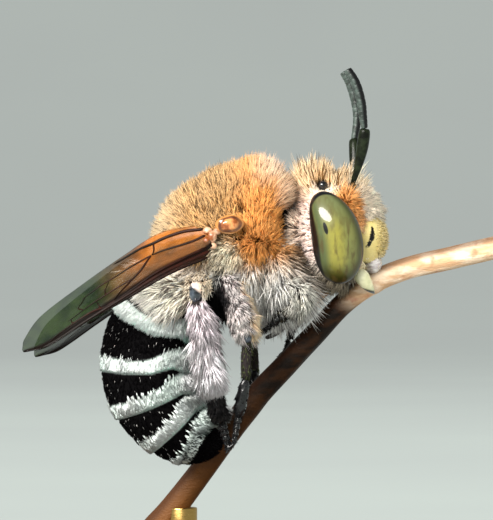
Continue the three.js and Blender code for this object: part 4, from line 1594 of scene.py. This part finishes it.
def hair_mesh(name, hairs, unwrap):
    """One joined mesh of hairs, with their colours and the unwrap for baking."""
    count = len(hairs.root)
    axis = unit(hairs.middle - hairs.root)
    side = unit(np.cross(axis, hairs.spin))
    other = np.cross(axis, side)
    turn = 2 * np.pi * CORNERS / HAIR_SIDES
    ring = side[:, None] * np.cos(turn)[None, :, None] + other[:, None] * np.sin(turn)[None, :, None]
    middle = hairs.middle[:, None] + ring * hairs.width[:, None, None] / 2
    points = np.concatenate([hairs.root[:, None], middle, hairs.tip[:, None]], axis=1)
    per_hair = points.shape[1]
    faces = (HAIR_FACES[None] + np.arange(count)[:, None, None] * per_hair).reshape(-1, 3)
    mesh = bpy.data.meshes.new(name)
    mesh.vertices.add(count * per_hair)
    mesh.vertices.foreach_set("co", (points * MM).astype(np.float32).ravel())
    mesh.loops.add(faces.size)
    mesh.loops.foreach_set("vertex_index", faces.astype(np.int32).ravel())
    mesh.polygons.add(len(faces))
    mesh.polygons.foreach_set("loop_start", np.arange(0, faces.size, 3, dtype=np.int32))
    shades = np.repeat(np.stack([hairs.dye_root, hairs.dye_middle, hairs.dye_tip], axis=1), (1, 3, 1), axis=1)
    set_colours(mesh, "coat_colour", shades)
    spread = unwrap.max(axis=0) - unwrap.min(axis=0)
    corner = (unwrap - unwrap.min(axis=0)) / spread * (0.99 - PATCH) + 0.005
    uv = (corner[:, None] + hair_patch()[None]).reshape(-1, 2)
    layer = mesh.uv_layers.new(name="OFBake")
    layer.uv.foreach_set("vector", uv.astype(np.float32).ravel())
    mesh.update(calc_edges=True)
    return mesh


def surface_of(name):
    """A piece's points, faces and normals in millimetres."""
    mesh = bpy.data.objects[name].data
    mesh.calc_loop_triangles()
    corners = np.empty(len(mesh.loop_triangles) * 3, np.int32)
    mesh.loop_triangles.foreach_get("vertices", corners)
    return of_vertices(mesh, "co") / MM, corners.reshape(-1, 3), of_vertices(mesh, "normal")


def merged_surface(*names):
    """The surfaces of several pieces as one."""
    surfaces = [surface_of(name) for name in names]
    offsets = np.cumsum([0] + [len(points) for points, _, _ in surfaces])
    return (np.concatenate([points for points, _, _ in surfaces]),
            np.concatenate([faces + offset for (_, faces, _), offset in zip(surfaces, offsets)]),
            np.concatenate([out for _, _, out in surfaces]))


def obstacles(but=()):
    """Everything that a hair may not pass through, without the pieces that it grows on."""
    points, faces = [], []
    for piece in bpy.data.objects:
        if piece.type != "MESH" or piece.hide_render or "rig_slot" not in piece:
            continue
        if piece.name in ("skin", *but):
            continue
        co, corners, _ = surface_of(piece.name)
        faces.append(corners + sum(len(p) for p in points))
        points.append(co)
    return BVHTree.FromPolygons(np.concatenate(points).tolist(), np.concatenate(faces).tolist())


def kept_clear(hairs, tree):
    """Shortens each hair that would pass through a piece, or drops it where too little is left."""
    share = np.ones(len(hairs.root))
    legs = ((hairs.root, hairs.middle, 0.0), (hairs.middle, hairs.tip, 0.5))
    for start, end, before in legs:
        reach = np.linalg.norm(end - start, axis=1)
        way = (end - start) / reach[:, None]
        for i in np.nonzero(share == 1)[0]:
            place, _, _, distance = tree.ray_cast(Vector(start[i]), Vector(way[i]), reach[i] * 1.03)
            if place is not None:
                share[i] = before + 0.5 * max(distance - HAIR_GAP, 0) / reach[i]
    return share


def grow(name, count, lie_of, sources, slot, unwrap_of, draw, tree):
    """Grows one piece of coat on the triangles of the skin that lie_of gives any weight."""
    sizes = chosen_sizes()
    points, faces, out = sources
    corner = points[faces]
    area = np.linalg.norm(np.cross(corner[:, 1] - corner[:, 0], corner[:, 2] - corner[:, 0]), axis=1) / 2
    centre, facing = corner.mean(axis=1), unit(out[faces].mean(axis=1))
    share = area * lie_of(centre, facing).weight
    count = int(count * sizes.hair_count)
    picked = draw.choice(len(faces), size=count, p=share / share.sum())
    r1, r2 = np.sqrt(draw.random(count)), draw.random(count)
    shares = np.stack([1 - r1, r1 * (1 - r2), r1 * r2], axis=1)[..., None]
    root = (corner[picked] * shares).sum(axis=1)
    normal = unit((out[faces[picked]] * shares).sum(axis=1))
    lie = lie_of(root, normal)

    lock, chance = lock_of(root, lie.lock)
    flow = lie.flow - normal * np.minimum((lie.flow * normal).sum(axis=1, keepdims=True), 0)
    wave = np.stack([ripples(31 + k, root, 0.9) for k in range(3)], axis=1)
    vary, stray = np.reshape(lie.vary, (-1, 1)), np.reshape(lie.stray, (-1, 1))
    flow = flow + wave * 0.12 + (chance - 0.5) * 0.5 * vary + draw.normal(size=(count, 3)) * stray
    flow = flow - normal * np.minimum((flow * normal).sum(axis=1, keepdims=True), 0)
    lift = np.clip(lie.lift + draw.normal(size=count) * 0.05, 0.03, 0.95)[:, None]
    more = draw.uniform(-0.3, 0.1, count) + 0.35 * (chance[:, 0] - 0.5) + 0.2 * (draw.random(count) < 0.05)
    length = (lie.length * sizes.hair_length * (1 + lie.vary * more))[:, None]
    rise = unit(normal * lift + flow * (1 - lift))
    lay = unit(normal * lift * 0.5 + flow * (1 - lift * 0.5) + draw.normal(size=(count, 3)) * 0.07)
    start = root - normal * SINK
    pull = lock - root
    pull = (pull - normal * (pull * normal).sum(axis=1, keepdims=True)) * LOCK_PULL * vary
    middle = start + rise * length * LOWER_PART + pull * 0.4
    hairs = Values(root=start, middle=middle, tip=middle + lay * length * (1 - LOWER_PART) + pull * 0.6,
                spin=draw.normal(size=(count, 3)),
                width=sizes.hair_width / MM * lie.thick * draw.uniform(0.7, 1.2, count))

    share = kept_clear(hairs, tree)
    early = share[:, None] < 0.5
    hairs.middle = np.where(early, start + (hairs.middle - start) * share[:, None] * 2, hairs.middle)
    late = np.clip((share - 0.5) * 2, 0, 1)[:, None]
    hairs.tip = np.where(early, hairs.middle + lay * 0.02,
                         hairs.middle + (hairs.tip - hairs.middle) * np.maximum(late, 0.05))
    keep = share > SHORTEST

    is_dark = (draw.random(count) < lie.dark)[:, None]
    glow = draw.uniform(0.82, 1.1, count) * (0.86 + 0.28 * chance[:, 1]) * (1 + 0.05 * ripples(55, root, 0.9))
    glow = glow[:, None]
    c = colours()
    ink = c.black * 2 + 0.01
    dye_tip = np.where(is_dark, ink, lie.tip * glow)
    dye_middle = np.where(is_dark, mix(lie.root, ink, 0.6 + 0 * late[:, 0]), (lie.root + lie.tip) / 2 * glow)
    # painted shade: a hair's root keeps only the share given as shaded of its colour
    hairs.dye_root = lie.root * np.reshape(lie.shaded, (-1, 1))
    hairs.dye_middle, hairs.dye_tip = dye_middle.clip(0, 1), dye_tip.clip(0, 1)
    for field, value in vars(hairs).items():
        setattr(hairs, field, value[keep])
    mesh = hair_mesh(name, hairs, unwrap_of(root[keep]))
    set_down(name, mesh, [coat_finish()], slot)


def coat_finish():
    if "coat" in bpy.data.materials:
        return bpy.data.materials["coat"]
    finish = Finish("coat", Roughness=0.5)
    cloud = finish.grain(3.0)
    dye = finish.attribute("coat_colour")
    finish.feed("Base Color", finish.blend(cloud.mask, dye, (0.84, 0.84, 0.86), "MULTIPLY"))
    # dark hairs hardly shine
    brightness = node(finish.tree, "RGBToBW", {0: dye}).outputs[0]
    finish.feed("Specular IOR Level", finish.range(brightness, 0.0, 0.3, 0.015, 0.15))
    finish.feed("Roughness", finish.range(brightness, 0.0, 0.25, 0.95, 0.5))
    return finish.material


def round_unwrap(centre):
    """Longitude and latitude about a centre."""

    def at(points):
        d = unit(points - np.array(centre))
        return np.stack([np.arctan2(d[:, 1], d[:, 0]), np.arcsin(d[:, 2].clip(-1, 1))], axis=1)

    return at


def curl_unwrap(points):
    angle, reach = curl_place(points)
    return np.stack([np.arctan2(points[:, 1], reach - CURL["radius"]), angle], axis=1)


def legs_unwrap(limbs):
    """Each leg part has its own upright strip."""

    def at(points):
        gaps = [limb.near(points) for limb in limbs]
        nearest = np.stack([gap for _, gap, _ in gaps]).argmin(axis=0)
        share = np.stack([s for s, _, _ in gaps])[nearest, np.arange(len(points))]
        angle = np.stack([a for _, _, a in gaps])[nearest, np.arange(len(points))]
        return np.stack([nearest + (angle / (2 * np.pi) + 0.5) * 0.9, share], axis=1)

    return at


class BEE_OT_coat(bpy.types.Operator):
    """Grow the coat over the skin and the feet"""

    bl_idname = "bee.coat"
    bl_label = "Coat"

    def execute(self, context):
        sizes = chosen_sizes()
        draw = np.random.default_rng(sizes.seed)
        tree = obstacles()
        points, faces, out = surface_of("skin")
        region = np.empty(len(points), np.int32)
        bpy.data.objects["skin"].data.attributes["region"].data.foreach_get("value", region)
        forms = body_forms()
        names = np.array([name for name, _ in forms])
        of_face = names[region[faces[:, 0]]]

        def on(wanted):
            return points, faces[np.isin(of_face, wanted)], out

        def masked(lie_of, measure, low, high):
            """A lie that grows hair only where the measure is above low and not above high."""

            def at(p, n):
                lie = lie_of(p, n)
                lie.weight = lie.weight * ((measure(p) > low) & (measure(p) <= high))
                return lie

            return at

        head = round_unwrap((2.9, 0, 11.4))
        regions = {
            "thorax": (thorax_lie, lambda p: p[:, 2], round_unwrap((-0.35, 0, 11.1))),
            "head": (head_lie, lambda p: p[:, 2], head),
            "abdomen": (abdomen_lie, lambda p: curl_place(p)[0], curl_unwrap),
        }
        for name, part, count, low, high in BODY_COAT:
            lie_of, measure, unwrap = regions[name]
            grow(f"{name}_coat_{part}", count, masked(lie_of, measure, low, high), on([name]), f"{name}_coat",
                 unwrap, draw, tree)

        for leg, count in LEG_HAIRS.items():
            mine = [(name, form) for name, form in forms if name.startswith(leg)]
            limbs = [form for _, form in mine]

            def lie_of(p, n, mine=mine, limbs=limbs):
                nearest = np.stack([limb.near(p)[1] for limb in limbs]).argmin(axis=0)
                whole = None
                for i, (name, limb) in enumerate(mine):
                    lie = leg_lie(p, n, name, limb)
                    if whole is None:
                        whole = lie
                        continue
                    here = nearest == i
                    for field, value in vars(lie).items():
                        if isinstance(value, np.ndarray):
                            mask = here[:, None] if value.ndim == 2 else here
                            setattr(whole, field, np.where(mask, value, getattr(whole, field)))
                return whole

            grow(f"{leg}_legs_coat", count, lie_of, on([name for name, _ in mine]), "leg_coat",
                 legs_unwrap(limbs), draw, tree)
        plates = ("face_plate", "lip")
        grow("face_down", FACE_HAIRS, plate_lie, merged_surface(*plates), "face_plate", head, draw,
             obstacles(plates))
        feet = [f"{leg}_foot_{side}" for leg in LEGS for side in HANDS]
        grow("feet_bristles", FEET_HAIRS, foot_lie, merged_surface(*feet), "foot", round_unwrap((0, 0, 7)),
             draw, obstacles((*feet, "knees")))
        return {"FINISHED"}


# ---------------------------------------------------------------- the stage


class BEE_OT_stage(bpy.types.Operator):
    """Set up the pale floor, the soft lights and the camera"""

    bl_idname = "bee.stage"
    bl_label = "Floor, lights and camera"

    def execute(self, context):
        scene = context.scene
        bm = bmesh.new()
        line = [bm.verts.new((x, 0, z)) for x, z in FLOOR]
        edges = [bm.edges.new(pair) for pair in zip(line, line[1:])]
        bmesh.ops.spin(bm, geom=line + edges, cent=(0, 0, 0), axis=(0, 0, 1), angle=2 * math.pi, steps=96,
                       use_merge=True)
        bmesh.ops.remove_doubles(bm, verts=bm.verts, dist=0.01)
        bmesh.ops.recalc_face_normals(bm, faces=bm.faces)
        floor = in_scene("floor", in_metres("floor", bm))
        floor.data.materials.append(floor_finish())

        world = bpy.data.worlds.new("studio")
        world.use_nodes = True
        colour, strength = world.node_tree.nodes["Background"].inputs[:2]
        colour.default_value = SKY_COLOUR
        strength.default_value = SKY_STRENGTH
        scene.world = world
        target = Vector(LIT_PLACE) * MM
        for name, place, size, power, tint in LAMPS:
            data = bpy.data.lights.new(name, "AREA")
            data.shape = "ELLIPSE"
            data.size, data.size_y = size[0] * MM, size[1] * MM
            data.energy = power
            data.color = tint
            light = in_scene(name, data)
            light.location = Vector(place) * MM
            light.visible_glossy = name == "key"
            light.rotation_euler = (target - light.location).to_track_quat("-Z", "Y").to_euler()

        data = bpy.data.cameras.new("camera")
        data.sensor_width = CAMERA["sensor"]
        data.lens = CAMERA["lens"]
        data.clip_start, data.clip_end = 0.01, 10
        camera = in_scene("camera", data)
        camera.location = Vector(CAMERA["place"]) * MM
        camera.rotation_euler = (math.pi / 2, 0, 0)
        scene.camera = camera
        scene.view_settings.view_transform = "Standard"
        return {"FINISHED"}


def floor_finish():
    return speckled("floor", (0.02,), (0.14, 0.16, 0.15), (0.155, 0.18, 0.165), 0.05, 0.1, Roughness=0.9,
                    Specular_IOR_Level=0.1, Emission_Color=(0.8, 0.85, 0.82, 1.0), Emission_Strength=0.42)


# ---------------------------------------------------------------- the add-on


OPERATORS = (BEE_OT_skin, BEE_OT_eyes, BEE_OT_face, BEE_OT_feelers, BEE_OT_wings, BEE_OT_feet, BEE_OT_perch,
             BEE_OT_stand, BEE_OT_coat, BEE_OT_stage)


class BEE_PT_panel(bpy.types.Panel):
    """Lists the pieces of the bee and the values that shape them"""

    bl_idname = "BEE_PT_panel"
    bl_label = "Blue-banded bee"
    bl_space_type = "VIEW_3D"
    bl_region_type = "UI"
    bl_category = "Bee"

    def draw(self, context):
        for group in (context.scene.bee_sizes, context.scene.bee_colours):
            box = self.layout.box()
            for name in group.bl_rna.properties.keys():
                if name not in ("rna_type", "name"):
                    box.prop(group, name)
        for operator in OPERATORS:
            self.layout.operator(operator.bl_idname)


CLASSES = (BeeSizes, BeeColours, *OPERATORS, BEE_PT_panel)


def register():
    for each in CLASSES:
        bpy.utils.register_class(each)
    bpy.types.Scene.bee_sizes = PointerProperty(type=BeeSizes)
    bpy.types.Scene.bee_colours = PointerProperty(type=BeeColours)


def unregister():
    del bpy.types.Scene.bee_colours
    del bpy.types.Scene.bee_sizes
    for each in reversed(CLASSES):
        bpy.utils.unregister_class(each)


def main():
    register()
    for operator in OPERATORS:
        group, name = operator.bl_idname.split(".")
        getattr(getattr(bpy.ops, group), name)()


if __name__ == "__main__":
    main()
